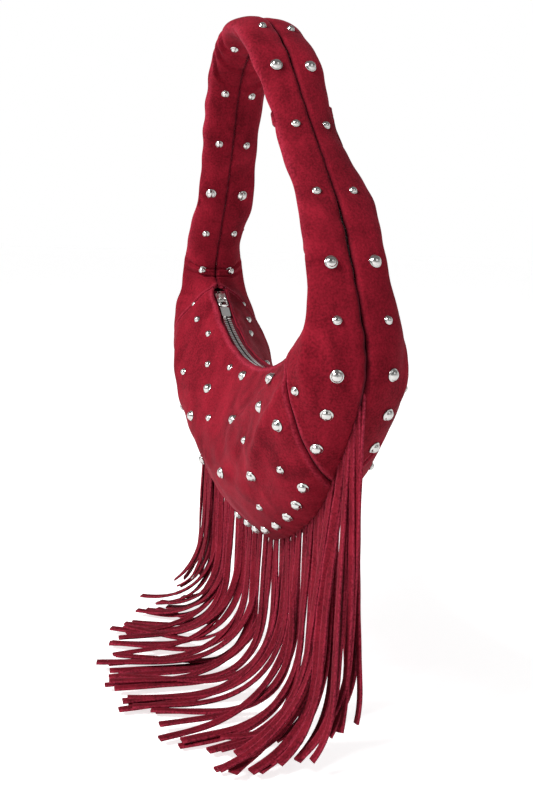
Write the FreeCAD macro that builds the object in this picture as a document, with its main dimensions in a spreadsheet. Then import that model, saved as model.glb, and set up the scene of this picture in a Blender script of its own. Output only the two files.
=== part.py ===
import FreeCAD, Part
import math
import os

# Hobo bag: one closed ring of suede in four panels. The lower half of the ring is the bag's body,
# the upper half its padded strap. The origin is on the underside of the strap's crown, where a
# hook or a shoulder bears. +Z is up, X runs along the zip, -Y is the front.
#
# The ring is described by a station q: 0 at the middle of the body's bottom, 1 at a zip end and
# 2 at the crown; q is negative on the -X side. At each station a section runs from the outer
# seam (v = 0) to the inner seam or the zip's edge (v = 1).

V = FreeCAD.Vector

SIZES = [
    ("half_width", 190.0, "outer seam, half the width over the body's ends"),
    ("zip_end_drop", 194.0, "crown's underside down to the zip's ends"),
    ("zip_half_span", 143.0, "half the straight distance between the zip's ends"),
    ("zip_sag", 68.0, "how far the zip's arc hangs below its ends"),
    ("body_height", 150.0, "zip to bottom seam at the middle"),
    ("body_half_depth", 47.0, "half the depth of the filled body"),
    ("strap_half_depth", 27.0, "half the width of the strap"),
    ("strap_thick", 20.0, "strap, inner seam to outer seam"),
    ("seam_half_gap", 0.1, "half the gap between the front and back panels at a seam"),
    ("mouth_half_gap", 8.0, "half the gap between the suede edges over the zip"),
    ("suede_wall", 2.2, "suede with its backing"),
    ("lining_wall", 0.6, "lining cloth"),
    ("lining_inset", 6.5, "outer face of the suede to the lining"),
    ("padding_inset", 5.6, "outer face of the suede to the strap's padding"),
    ("lining_drop", 11.0, "suede edge down to the lining's top edge"),
    ("stay_width", 25.0, "stay tape inside the strap"),
    ("stay_thick", 1.2, "stay tape inside the strap"),
    ("pocket_wall", 0.8, "slip pocket cloth"),
    ("chain_sink", 3.0, "zip chain below the suede edges"),
    ("tape_thick", 0.7, "zip tape"),
    ("tape_edge", 1.75, "middle of the chain to the tape's edge"),
    ("tooth_pitch", 2.9, "zip teeth of one side"),
    ("tooth_length", 1.6, "along the chain"),
    ("tooth_reach", 3.6, "middle of the chain to the tooth's back"),
    ("tooth_gap", 0.65, "middle of the chain to the tooth's head"),
    ("tooth_height", 2.2, "across the tape"),
    ("chain_start", 45.5, "degrees, first tooth at the closed end"),
    ("chain_end", 35.5, "degrees, last tooth at the open end"),
    ("slider_rest", 43.5, "degrees, slider when the zip is closed"),
    ("slider_length", 11.0, "slider plates"),
    ("slider_half_width", 4.9, "slider plates"),
    ("slider_plate", 1.2, "slider plates"),
    ("slider_clearance", 0.4, "slider to the teeth and the tapes"),
    ("bridge_half_width", 0.9, "bridge over the slider"),
    ("bridge_height", 3.3, "bridge over the slider"),
    ("bridge_bar", 0.9, "bridge bar's thickness"),
    ("pivot_ahead", 2.0, "slider's middle to the link's near bar"),
    ("pull_wire", 1.7, "pull link's wire diameter"),
    ("link_length", 10.0, "pull link, middle of bar to middle of bar"),
    ("link_half_width", 3.8, "pull link, to the middle of its side bars"),
    ("link_corner", 1.6, "pull link's corner radius"),
    ("tab_length", 14.0, "pull tab from its eye's middle"),
    ("tab_half_width", 4.3, "pull tab"),
    ("tab_thick", 1.2, "pull tab"),
    ("eye_clearance", 0.1, "pull tab's eye on the link's wire"),
    ("eye_wall", 0.65, "pull tab's rolled eye"),
    ("large_stud", 9.5, "large stud's flange diameter"),
    ("small_stud", 6.4, "small stud's flange diameter"),
    ("stud_post", 1.2, "radius of a stud's post"),
    ("strip_width", 7.0, "fringe strip"),
    ("strip_thick", 1.8, "fringe strip"),
    ("strip_length", 240.0, "fringe strip"),
    ("strip_gap", 1.6, "least gap between strips of one row"),
    ("strip_pitch", 7.2, "fringe strips along the seam"),
    ("header_clearance", 0.5, "fringe band below the panels' seam"),
    ("header_height", 6.0, "fringe band above its cuts"),
    ("rest_height", 134.0, "middle of the bottom seam above the surface the fringe lies on"),
    ("bend_radius", 45.0, "fringe strip where it meets the surface"),
    ("fringe_lean", 12.0, "degrees, largest sideways lean of a strip"),
]

# Outline of the body's bottom: station, x and height above the bottom as shares of the half
# width and the body height, and depth as a share of the body's.
BODY_STATIONS = [
    (0.00, 0.000, 0.000, 1.00),
    (0.16, 0.263, 0.067, 1.00),
    (0.33, 0.553, 0.267, 1.00),
    (0.54, 0.779, 0.547, 1.00),
    (0.77, 1.000, 1.007, 0.97),
    (1.00, 0.984, 1.340, 0.81),
]

# Outline of the strap's inner seam: station, x and drop as shares of the zip's half span and of
# the drop to its ends, then thickness and depth as shares of the strap's.
STRAP_STATIONS = [
    (1.25, 0.979, 0.866, 1.20, 1.10),
    (1.50, 0.755, 0.593, 0.95, 1.00),
    (1.72, 0.490, 0.300, 1.00, 0.97),
    (1.88, 0.255, 0.077, 1.05, 1.00),
    (2.00, 0.000, 0.000, 1.10, 1.00),
]

SIDE_SEAM = 0.54
ZIP_END = 1.0
CROWN = 2.0
GAP_OPEN_UNTIL = 0.92
GAP_CLOSED_FROM = 1.06
SKIN_POINTS = 9

doc = FreeCAD.newDocument("HoboBag")
sheet = doc.addObject("Spreadsheet::Sheet", "Sizes")
for row, (alias, value, note) in enumerate(SIZES, start=1):
    sheet.set("A%d" % row, note)
    sheet.set("B%d" % row, str(value))
    sheet.setAlias("B%d" % row, alias)
doc.recompute()


def size(alias):
    """A driving dimension, read from the sheet."""
    return float(sheet.get(alias))


ZIP_RADIUS = (size("zip_half_span") ** 2 + size("zip_sag") ** 2) / (2 * size("zip_sag"))
ZIP_HALF_ANGLE = math.degrees(math.asin(size("zip_half_span") / ZIP_RADIUS))
ZIP_BOTTOM = -size("zip_end_drop") - size("zip_sag")
ZIP_CENTRE = ZIP_BOTTOM + ZIP_RADIUS
CHAIN_RADIUS = ZIP_RADIUS + size("chain_sink")
BODY_BOTTOM = ZIP_BOTTOM - size("body_height")
SURFACE = BODY_BOTTOM - size("rest_height")


def smooth_step(value):
    """0 below 0, 1 above 1, and a smooth rise between."""
    value = max(0.0, min(1.0, value))
    return value * value * (3 - 2 * value)


def on_zip(radius, degrees):
    """A point on an arc about the zip's centre, in the XZ plane; 0 degrees is straight down."""
    angle = math.radians(degrees)
    return V(radius * math.sin(angle), 0, ZIP_CENTRE - radius * math.cos(angle))


# ---------------------------------------------------------------- the ring's two seam curves

def spline_curve(points, parameters):
    """An open spline that meets each point at its own parameter."""
    curve = Part.BSplineCurve()
    curve.interpolate(Points=points, Parameters=parameters)
    return curve


def closed_curve(stations):
    """A smooth closed curve through (q, point) pairs given from q = 0 to the crown at q = 2.

    The -X half mirrors them, and the spline overlaps itself by half a turn at each end, so that
    its stretch from -2 to 2 closes smoothly.
    """
    half = [(-q, V(-p.x, p.y, p.z)) for q, p in stations[1:-1]]
    whole = list(reversed(half)) + stations
    turn = 2 * CROWN
    wrapped = [(q - turn, p) for q, p in whole if q > 0]
    wrapped += whole
    wrapped += [(q + turn, p) for q, p in whole if q < 0]
    return spline_curve([p for q, p in wrapped], [q for q, p in wrapped])


def inner_stations():
    """The zip's arc at the body's stations, then the strap's inner seam."""
    points = [(q, on_zip(ZIP_RADIUS, q * ZIP_HALF_ANGLE)) for q, x, rise, depth in BODY_STATIONS]
    for q, x, drop, thick, depth in STRAP_STATIONS:
        points.append((q, V(x * size("zip_half_span"), 0, -drop * size("zip_end_drop"))))
    return points


INNER = closed_curve(inner_stations())


def outer_stations():
    """The outer seam; y holds the half depth of the ring at that station."""
    points = []
    for q, x, rise, depth in BODY_STATIONS:
        height = BODY_BOTTOM + rise * size("body_height")
        points.append((q, V(x * size("half_width"), depth * size("body_half_depth"), height)))
    for q, x, drop, thick, depth in STRAP_STATIONS:
        foot = INNER.value(q) if q < CROWN else V(0, 0, 0)
        along = INNER.tangent(q)[0] if q < CROWN else V(-1, 0, 0)
        away = V(-along.z, 0, along.x) * -1
        point = foot + away * (thick * size("strap_thick"))
        points.append((q, V(point.x, depth * size("strap_half_depth"), point.z)))
    return points


OUTER = closed_curve(outer_stations())


def wrapped(q):
    """The same station between -2 and 2."""
    return (q + CROWN) % (2 * CROWN) - CROWN


def seam_point(curve, q):
    """A point of a seam curve."""
    return curve.value(wrapped(q))


def inner_point(q):
    """The inner seam, or on the body the suede's edge, which is an exact arc."""
    if abs(q) <= ZIP_END:
        return on_zip(ZIP_RADIUS, q * ZIP_HALF_ANGLE)
    return seam_point(INNER, q)


def mouth_gap(q):
    """Half the gap between the two suede edges: open over the zip, shut on the strap."""
    share = (abs(q) - GAP_OPEN_UNTIL) / (GAP_CLOSED_FROM - GAP_OPEN_UNTIL)
    open_by = size("mouth_half_gap") - size("seam_half_gap")
    return open_by * (1 - smooth_step(share))


def fullness(q, v):
    """How far a section bulges at v, from 0 to 1: flat-faced on the strap, a drop on the body."""
    body = smooth_step((1.2 - abs(q)) / 0.4)
    v = max(0.0, min(1.0, v))
    if v in (0.0, 1.0):
        return 0.0
    power = (0.62 + 0.25 * body) * (1 - v) + (0.62 + 0.38 * body) * v
    return math.sin(math.pi * v ** (1 - 0.15 * body)) ** power


def section_point(q, v, inset=0.0, top_inset=None):
    """A point of the front skin, moved inwards by inset (top_inset at its inner edge)."""
    top_inset = inset if top_inset is None else top_inset
    q = wrapped(q)
    outer = OUTER.value(q)
    half_depth = outer.y
    outer = V(outer.x, 0, outer.z)
    inner = inner_point(q)
    along = (inner - outer).normalize()
    start = outer + along * inset
    end = inner - along * top_inset
    place = start + (end - start) * v
    depth = (half_depth - inset) * fullness(q, v) + mouth_gap(q) * v ** 3
    return V(place.x, -depth - size("seam_half_gap"), place.z)


def shares(low, high, count=SKIN_POINTS):
    """Values from low to high, closer together at both ends."""
    return [low + (high - low) * 0.5 * (1 - math.cos(math.pi * i / (count - 1)))
            for i in range(count)]


def line(start, end):
    """A straight edge."""
    return Part.LineSegment(start, end).toShape()


def grid_surface(rows):
    """A smooth surface through rows of points: splines across the rows, then along them."""
    across = [spline_curve(row, shares(0.0, 1.0, len(row))) for row in rows]
    columns = list(zip(*[curve.getPoles() for curve in across]))
    places = stations(0.0, 1.0, len(rows))
    along = [spline_curve(list(column), places) for column in columns]
    poles = list(zip(*[curve.getPoles() for curve in along]))
    surface = Part.BSplineSurface()
    surface.buildFromPolesMultsKnots([list(row) for row in poles],
                                     along[0].getMultiplicities(), across[0].getMultiplicities(),
                                     along[0].getKnots(), across[0].getKnots(),
                                     False, False, 3, 3)
    return surface


def end_face(edge, twin):
    """The flat face between two curves of one station, which may meet at an end."""
    edges = [edge]
    for place in ("FirstParameter", "LastParameter"):
        start, end = (curve.valueAt(getattr(curve, place)) for curve in (edge, twin))
        if (end - start).Length > 0.01:
            edges.append(line(start, end))
    edges.append(twin)
    return Part.Face(Part.Wire(Part.__sortEdges__(edges)))


def solid_between(rows, other_rows):
    """The closed solid between two surfaces through grids of points of the same size."""
    one, other = grid_surface(rows), grid_surface(other_rows)
    faces = [one.toShape(), other.toShape()]
    low_u, high_u, low_v, high_v = one.bounds()
    for u in (low_u, high_u):
        faces.append(end_face(one.uIso(u).toShape(), other.uIso(u).toShape()))
    for v in (low_v, high_v):
        edge, twin = one.vIso(v).toShape(), other.vIso(v).toShape()
        if (edge.valueAt(edge.FirstParameter) - twin.valueAt(twin.FirstParameter)).Length > 0.01:
            faces.append(Part.makeRuledSurface(edge, twin))
    shell = Part.makeShell(faces)
    shell.sewShape()
    solid = Part.makeSolid(shell)
    if solid.Volume < 0:
        solid.reverse()
    return solid


def wall_solid(places, inset, wall, low=0.0, high=1.0, top_inset=None):
    """One thin panel over a run of stations, between v = low and v = high."""
    top_inset = inset if top_inset is None else top_inset
    outside = [[section_point(q, v, inset, top_inset) for v in shares(low, high)]
               for q in places]
    inside = [[section_point(q, v, inset + wall, top_inset + wall) for v in shares(low, high)]
              for q in places]
    return solid_between(outside, inside)


def lens_solid(places, inset, low, high):
    """Padding over a run of stations: both sides of the strap between v = low and v = high."""
    front = [[section_point(q, v, inset) for v in shares(low, high)] for q in places]
    back = [[V(p.x, -p.y, p.z) for p in row] for row in front]
    return solid_between(front, back)


def stations(start, end, count):
    """Evenly spaced stations."""
    return [start + (end - start) * i / (count - 1) for i in range(count)]


def edge_through(points):
    """A spline edge through evenly spaced points."""
    return spline_curve(points, stations(0.0, 1.0, len(points))).toShape()


# ---------------------------------------------------------------- soft pieces

NODES = []


def keep(thing, label):
    """Names a finished sub-part, whose Label is its node."""
    thing.Label = label
    NODES.append(thing)
    return thing


def feature(label, shape):
    """A sub-part whose shape neither sketches nor primitives can give."""
    place = shape.Placement
    shape.Placement = FreeCAD.Placement()
    thing = doc.addObject("Part::Feature", label)
    thing.Shape = shape
    thing.Placement = place
    return keep(thing, label)


def mirror_to_back(front, label):
    """The same sub-part on the back of the bag."""
    thing = doc.addObject("Part::Mirroring", label)
    thing.Source = front
    thing.Base = V(0, 0, 0)
    thing.Normal = V(0, 1, 0)
    return keep(thing, label)


def suede_panels():
    """Four suede panels: a middle one and one strap-and-ends one on each side of the bag."""
    wall = size("suede_wall")
    middle = stations(-SIDE_SEAM, SIDE_SEAM, 9)
    ends = stations(SIDE_SEAM, 2 * CROWN - SIDE_SEAM, 61)
    front = feature("front_body_panel", wall_solid(middle, 0, wall))
    front_strap = feature("front_strap_panel", wall_solid(ends, 0, wall))
    mirror_to_back(front, "back_body_panel")
    mirror_to_back(front_strap, "back_strap_panel")


def linings():
    """The lining's two halves inside the body, and the slip pocket on the back one."""
    inset = size("lining_inset")
    wall = size("lining_wall")
    places = stations(-ZIP_END + 0.06, ZIP_END - 0.06, 13)
    lining = wall_solid(places, inset, wall, top_inset=size("lining_drop"))
    front = feature("front_lining", lining)
    mirror_to_back(front, "back_lining")
    pocket = wall_solid(stations(-0.34, 0.34, 7), inset + wall + 0.5, size("pocket_wall"),
                        0.30, 0.80, size("lining_drop") + wall + 0.5)
    feature("slip_pocket", pocket.mirror(V(0, 0, 0), V(0, 1, 0)))


def strap_filling():
    """Two layers of padding with a stay tape between them, from zip end to zip end."""
    inset = size("padding_inset")
    low, high = ZIP_END + 0.14, 2 * CROWN - ZIP_END - 0.14
    gap, rim = 0.09, 0.05
    places = stations(low, high, 25)
    feature("outer_strap_padding", lens_solid(places, inset, rim, 0.5 - gap))
    feature("inner_strap_padding", lens_solid(places, inset, 0.5 + gap, 1.0 - rim))
    half = size("stay_width") / 2
    above, below = [], []
    for q in places:
        outer_seam, inner_seam = (section_point(q, v) for v in (0.0, 1.0))
        outer_seam.y = inner_seam.y = 0
        middle = (outer_seam + inner_seam) * 0.5
        across = (inner_seam - outer_seam).normalize() * (size("stay_thick") / 2)
        widths = [V(0, -half + 2 * half * share, 0) for share in shares(0.0, 1.0, 4)]
        above.append([middle + across + width for width in widths])
        below.append([middle - across + width for width in widths])
    feature("strap_stay_tape", solid_between(above, below))


def strip_shape(row_inset, drop):
    """One fringe strip in the YZ plane at the seam: straight down, round and along the surface.

    Every strip turns about one centre, so the rows stay apart, and a short one ends on the way.
    """
    thick, radius = size("strip_thick"), size("bend_radius")
    near, far = row_inset, row_inset - thick
    below = size("strip_length") - (drop - radius)
    level = -min(drop - radius, size("strip_length"))
    turn = max(0.0, min(math.pi / 2, below / radius))
    run = max(0.0, below - radius * math.pi / 2)

    def on_arc(inset, share):
        reach = radius + inset
        angle = turn * share
        return V(0, -radius + reach * math.cos(angle), level - reach * math.sin(angle))

    def side(inset):
        edges = [line(V(0, inset, 0), on_arc(inset, 0))]
        if turn > 0:
            edges.append(Part.Arc(*(on_arc(inset, share) for share in (0, 0.5, 1))).toShape())
        if run > 0:
            edges.append(line(on_arc(inset, 1), on_arc(inset, 1) - V(0, run, 0)))
        return edges

    end = V(0, run, 0)
    edges = side(near) + side(far) + [line(V(0, near, 0), V(0, far, 0)),
                                      line(on_arc(near, 1) - end, on_arc(far, 1) - end)]
    outline = Part.Wire(Part.__sortEdges__(edges))
    return Part.Face(outline).extrude(V(size("strip_width"), 0, 0))


def fringe_places():
    """Places along the bottom seam at the strips' pitch, and clear of the row's last strip."""
    points = [V(p.x, 0, p.z) for p in (seam_point(OUTER, q) for q in stations(-0.8, 0.8, 641))]
    room = (size("strip_width") + size("strip_gap")) / math.cos(math.radians(size("fringe_lean")))
    places = []
    travelled = size("strip_pitch")
    for here, there in zip(points, points[1:]):
        travelled += (there - here).Length
        clear = len(places) < 2 or there.x - places[-2].x >= room
        if travelled >= size("strip_pitch") and clear:
            travelled = 0.0
            places.append(there)
    return places


def fringe():
    """A band of suede under the bottom seam, and its strips, which hang and lie in two rows."""
    clear, height = size("header_clearance"), size("header_height")
    thick = size("strip_thick")
    steps = stations(-0.82, 0.82, 21)
    top, bottom = [], []
    for q in steps:
        point = seam_point(OUTER, q)
        along = OUTER.tangent(q)[0]
        away = V(along.z, 0, -along.x)
        point = V(point.x, -thick / 2, point.z)
        top.append(point + away.normalize() * clear)
        bottom.append(point + away * (clear + height))
    edge = edge_through(bottom)
    outline = Part.Wire([edge_through(top), line(top[-1], bottom[-1]), edge,
                         line(bottom[0], top[0])])
    header = Part.Face(outline).extrude(V(0, thick, 0))
    roof = [V(bottom[-1].x, bottom[-1].y, 0), V(bottom[0].x, bottom[0].y, 0)]
    above = Part.Face(Part.Wire([edge, line(bottom[-1], roof[0]), line(*roof),
                                 line(roof[1], bottom[0])]))
    above.translate(V(0, -2 * thick, 0))
    above = above.extrude(V(0, 5 * thick, 0))
    strips = []
    for index, place in enumerate(fringe_places()):
        row_inset = -0.1 if index % 2 else thick + 0.1
        lean = size("fringe_lean") * (0.5 - place.x / (2 * size("half_width")))
        start = V(place.x, 0, place.z - clear - height / 2)
        drop = start.z - SURFACE - 2 * thick - 0.4
        strip = strip_shape(row_inset, drop / math.cos(math.radians(lean)))
        strip.translate(V(start.x - size("strip_width") / 2, 0, start.z))
        strip.rotate(start, V(0, 1, 0), lean)
        strips.append(strip.cut(above))
    feature("fringe", Part.makeCompound([header] + strips))


# ---------------------------------------------------------------- zip

def zip_tape(label, side):
    """One tape: a flat strip beside the teeth and a flange that slopes down inside the suede."""
    half = size("tape_thick") / 2
    flat_end = size("mouth_half_gap") - 1.0
    outline = [(size("tape_edge"), -half), (flat_end, -half), (flat_end + 4, 6.4),
               (flat_end + 3.4, 6.8), (flat_end - 0.3, half), (size("tape_edge"), half)]
    reach = GAP_OPEN_UNTIL * ZIP_HALF_ANGLE
    points = [V(0, side * y, ZIP_CENTRE - CHAIN_RADIUS - drop) for y, drop in outline]
    face = Part.Face(Part.makePolygon(points + points[:1]))
    face.rotate(V(0, 0, ZIP_CENTRE), V(0, 1, 0), reach)
    return feature(label, face.revolve(V(0, 0, ZIP_CENTRE), V(0, -1, 0), 2 * reach))


def tooth(side):
    """One zip tooth at the lowest point of the arc: a head, and two jaws that hold the tape."""
    head, reach = size("tooth_gap"), size("tooth_reach")
    high, slot = size("tooth_height") / 2, size("tape_thick") / 2 + 0.05
    root = size("tape_edge") - 0.05
    outline = [(head, -high), (reach, -high), (reach, -slot), (root, -slot),
               (root, slot), (reach, slot), (reach, high), (head, high)]
    level = ZIP_CENTRE - CHAIN_RADIUS
    start = -size("tooth_length") / 2
    points = [V(start, side * y, level + z) for y, z in outline]
    return Part.Face(Part.makePolygon(points + points[:1])).extrude(V(-2 * start, 0, 0))


def zip_teeth(label, side, shift):
    """A row of teeth along one tape."""
    step = math.degrees(size("tooth_pitch") / CHAIN_RADIUS)
    count = int((size("chain_start") + size("chain_end")) / step)
    teeth = []
    for index in range(count):
        copy = tooth(side)
        angle = -size("chain_start") + (index + shift) * step
        copy.rotate(V(0, 0, ZIP_CENTRE), V(0, 1, 0), -angle)
        teeth.append(copy)
    return feature(label, Part.makeCompound(teeth))


def zip_block(length, low_y, high_y, height, angle):
    """A small metal block on the chain at an angle."""
    block = Part.makeBox(length, high_y - low_y, height)
    block.translate(V(-length / 2, low_y, ZIP_CENTRE - CHAIN_RADIUS - height / 2))
    block = block.makeFillet(0.3, block.Edges)
    block.rotate(V(0, 0, ZIP_CENTRE), V(0, 1, 0), -angle)
    return block


def zip_stops():
    """Two top stops beyond the closed end and one wide bottom stop at the open end."""
    gap = size("tooth_gap")
    past = math.degrees(2.4 / CHAIN_RADIUS)
    angle = -size("chain_start") - past
    jaw = size("tape_edge") - 0.1
    pair = [zip_block(1.8, gap, jaw, 2.6, angle), zip_block(1.8, -jaw, -gap, 2.6, angle)]
    feature("zip_top_stops", Part.makeCompound(pair))
    feature("zip_bottom_stop", zip_block(3.0, -jaw, jaw, 2.6, size("chain_end") + past * 0.8))


SLIDER_PLACE = FreeCAD.Placement(on_zip(CHAIN_RADIUS, -size("slider_rest")),
                                 FreeCAD.Rotation(V(0, 1, 0), size("slider_rest")))


def slider_box(name, length, width, height, middle_x, middle_y, bottom):
    """A box bound to the sheet: sizes and places are expressions in the slider's own frame."""
    box = doc.addObject("Part::Box", name)
    box.setExpression("Length", length)
    box.setExpression("Width", width)
    box.setExpression("Height", height)
    box.setExpression("Placement.Base.x", "%s - (%s) / 2" % (middle_x, length))
    box.setExpression("Placement.Base.y", "%s - (%s) / 2" % (middle_y, width))
    box.setExpression("Placement.Base.z", bottom)
    return box


def zip_slider():
    """The slider: two plates with side flanges, a thin web between them and a bridge on top."""
    plate_bottom = "Sizes.tooth_height / 2 + Sizes.slider_clearance"
    wide = "2 * Sizes.slider_half_width"
    flange_low = "Sizes.tape_thick / 2 + Sizes.slider_clearance"
    flange_tall = "(%s) - (%s) + 0.1" % (plate_bottom, flange_low)
    top = "%s + Sizes.slider_plate" % plate_bottom
    parts = [
        slider_box("SliderTop", "Sizes.slider_length", wide, "Sizes.slider_plate",
                   "0", "0", plate_bottom),
        slider_box("SliderBottom", "Sizes.slider_length", wide, "Sizes.slider_plate",
                   "0", "0", "-(%s)" % top),
        slider_box("SliderWeb", "4", "0.6", "2 * (%s) + 0.4" % plate_bottom,
                   "-2.5", "0", "-(%s) - 0.2" % plate_bottom),
        slider_box("Bridge", "9.2", "2 * Sizes.bridge_half_width",
                   "Sizes.bridge_height + 0.2", "0", "0", "%s - 0.2" % top),
    ]
    for name, sign in (("Left", "-1"), ("Right", "1")):
        middle = "%s * (Sizes.slider_half_width - 0.4)" % sign
        parts.append(slider_box("FlangeTop" + name, "Sizes.slider_length", "0.8",
                                flange_tall, "0", middle, flange_low))
        parts.append(slider_box("FlangeBottom" + name, "Sizes.slider_length", "0.8",
                                flange_tall, "0", middle,
                                "-(%s) - (%s)" % (flange_low, flange_tall)))
    whole = doc.addObject("Part::MultiFuse", "SliderBlank")
    whole.Shapes = parts
    window = slider_box("BridgeWindow", "6.4", "4 * Sizes.bridge_half_width",
                        "Sizes.bridge_height - Sizes.bridge_bar", "0", "0", top)
    slider = doc.addObject("Part::Cut", "SliderCut")
    slider.Base = whole
    slider.Tool = window
    slider.Placement = SLIDER_PLACE
    return keep(slider, "zip_slider")


def pull_level():
    """Height of the pull's middle plane above the chain, in the slider's frame."""
    top = size("tooth_height") / 2 + size("slider_clearance") + size("slider_plate")
    return top + (size("bridge_height") - size("bridge_bar")) / 2


def pull_link():
    """An oval wire link through the slider's bridge, its wire swept round a rounded oblong."""
    length, half = size("link_length"), size("link_half_width")
    corner, radius = size("link_corner"), size("pull_wire") / 2
    level = pull_level()
    near, far = size("pivot_ahead"), size("pivot_ahead") + length
    turn = corner * (1 - math.sqrt(0.5))
    edges = []
    for x, y, inward_x, inward_y in ((near, -half, 1, 1), (far, -half, -1, 1),
                                     (far, half, -1, -1), (near, half, 1, -1)):
        along_x = V(x + inward_x * corner, y, level)
        along_y = V(x, y + inward_y * corner, level)
        middle = V(x + inward_x * turn, y + inward_y * turn, level)
        edges.append(Part.Arc(along_x, middle, along_y).toShape())
    for y in (-half, half):
        edges.append(line(V(near + corner, y, level), V(far - corner, y, level)))
    for x in (near, far):
        edges.append(line(V(x, -half + corner, level), V(x, half - corner, level)))
    path = Part.Wire(Part.__sortEdges__(edges))
    ring = []
    for edge in path.Edges:
        first = edge.valueAt(edge.FirstParameter)
        direction = edge.tangentAt(edge.FirstParameter)
        circle = Part.Wire(Part.Circle(first, direction, radius).toShape())
        ring.append(Part.Wire(edge).makePipeShell([circle], True, False))
    link = ring[0].multiFuse(ring[1:]).removeSplitter()
    link.Placement = SLIDER_PLACE
    return feature("zip_pull_link", link)


def pull_tab():
    """A plain metal tab whose rolled eye turns on the link's far bar."""
    level = pull_level()
    eye_x = size("pivot_ahead") + size("link_length")
    bore = size("pull_wire") / 2 + size("eye_clearance")
    rim = bore + size("eye_wall")
    half_eye = size("link_half_width") - size("link_corner") - 0.3
    thick, half = size("tab_thick"), size("tab_half_width")
    end = eye_x + size("tab_length")
    wide_from = eye_x + rim + 0.8
    outline = [V(eye_x, -half_eye, 0), V(wide_from, -half_eye, 0), V(wide_from, -half, 0),
               V(end, -half, 0), V(end, half, 0), V(wide_from, half, 0),
               V(wide_from, half_eye, 0), V(eye_x, half_eye, 0)]
    plate = Part.Face(Part.makePolygon(outline + outline[:1])).extrude(V(0, 0, thick))
    corners = [edge for edge in plate.Edges
               if abs(edge.Length - thick) < 0.01 and edge.CenterOfMass.x > wide_from - 0.1
               and abs(edge.CenterOfMass.y) > half - 0.1]
    plate = plate.makeFillet(1.4, corners)
    plate.translate(V(0, 0, level - thick / 2))
    barrel = Part.makeCylinder(rim, 2 * half_eye, V(eye_x, -half_eye, level), V(0, 1, 0))
    hole = Part.makeCylinder(bore, 2 * half_eye + 2, V(eye_x, -half_eye - 1, level), V(0, 1, 0))
    tab = plate.fuse(barrel).cut(hole).removeSplitter()
    tab.Placement = SLIDER_PLACE
    return feature("zip_pull_tab", tab)


def zipper():
    """The whole zip."""
    zip_tape("front_zip_tape", -1)
    zip_tape("back_zip_tape", 1)
    zip_teeth("front_zip_teeth", -1, 0.5)
    zip_teeth("back_zip_teeth", 1, 1.0)
    zip_stops()
    zip_slider()
    pull_link()
    pull_tab()


# ---------------------------------------------------------------- studs

# Studs as (q, v) on a panel. The strap and the body's ends carry rows along both faces; the
# middle panel carries scattered studs and a row along its hem.
STRAP_ROW_Q = [0.72, 0.90, 1.08, 1.26, 1.43, 1.60, 1.76, 1.92]


def strap_studs():
    """Rows on the outer and the inner face of the strap panel: (large, small) lists."""
    large, small = [], []
    for sign in (-1, 1):
        for index, q in enumerate(STRAP_ROW_Q):
            (small if index % 3 == 2 or index > 4 else large).append((sign * q, 0.24))
        for index, q in enumerate(STRAP_ROW_Q[3:]):
            (small if index % 2 else large).append((sign * (q + 0.05), 0.76))
    return large, small


def body_studs():
    """Scattered studs and the hem row of a middle panel: (large, small) lists."""
    large = [(q * 0.075, 0.12) for q in range(-6, 7)]
    large += [(-0.45, 0.62), (-0.22, 0.75), (0.02, 0.86), (0.22, 0.80), (0.40, 0.62),
              (-0.38, 0.36), (-0.08, 0.55), (0.30, 0.40), (0.05, 0.30)]
    small = [(-0.48, 0.84), (-0.34, 0.84), (-0.30, 0.55), (-0.12, 0.36), (0.12, 0.62),
             (0.42, 0.84), (-0.24, 0.22), (0.18, 0.24), (0.38, 0.26)]
    return large, small


def stud_place(q, v):
    """A placement on the front skin: Z points out of the suede."""
    step = 0.01
    point = section_point(q, v)
    along = section_point(q + step, v) - section_point(q - step, v)
    up = section_point(q, v + step) - section_point(q, v - step)
    normal = along.cross(up).normalize()
    if normal.y > 0:
        normal = normal * -1
    return FreeCAD.Placement(point + normal * 0.05, FreeCAD.Rotation(V(0, 0, 1), normal))


def stud_cap(diameter):
    """A domed cap on a flange, with the post that goes through the suede, as one solid."""
    radius = diameter / 2
    flange = 0.1 * diameter
    dome = 0.84 * radius
    rise = 0.68 * radius
    top = flange + rise
    post = size("stud_post")
    deep = size("suede_wall") + 0.4
    sphere = (dome ** 2 + rise ** 2) / (2 * rise)
    half_way = math.asin(dome / sphere) / 2
    bulge = V(sphere * math.sin(half_way), 0, top - sphere * (1 - math.cos(half_way)))
    edges = [line(V(0, 0, -deep), V(post, 0, -deep)), line(V(post, 0, -deep), V(post, 0, 0)),
             line(V(post, 0, 0), V(radius, 0, 0)), line(V(radius, 0, 0), V(radius, 0, flange)),
             line(V(radius, 0, flange), V(dome, 0, flange)),
             Part.Arc(V(dome, 0, flange), bulge, V(0, 0, top)).toShape(),
             line(V(0, 0, top), V(0, 0, -deep))]
    return Part.Face(Part.Wire(edges)).revolve(V(0, 0, 0), V(0, 0, 1), 360)


def stud_back(diameter):
    """The plain disc that closes a stud behind the suede."""
    return Part.makeCylinder(0.34 * diameter, 0.6, V(0, 0, -size("suede_wall") - 1.0))


def stud_group(label, maker, places):
    """Copies of one fastener as a group of separate solids."""
    copies = []
    for diameter, (q, v) in places:
        copy = maker(diameter)
        copy.Placement = stud_place(q, v)
        copies.append(copy)
    return feature(label, Part.makeCompound(copies))


def studs():
    """Studs of the front panels, and the same again on the back."""
    for panel, (large, small) in (("strap", strap_studs()), ("body", body_studs())):
        big = [(size("large_stud"), place) for place in large]
        little = [(size("small_stud"), place) for place in small]
        groups = (("large_studs", stud_cap, big), ("small_studs", stud_cap, little),
                  ("stud_backs", stud_back, big + little))
        for kind, maker, places in groups:
            front = stud_group("front_%s_%s" % (panel, kind), maker, places)
            mirror_to_back(front, "back_%s_%s" % (panel, kind))


# ---------------------------------------------------------------- build, test and write

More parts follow.
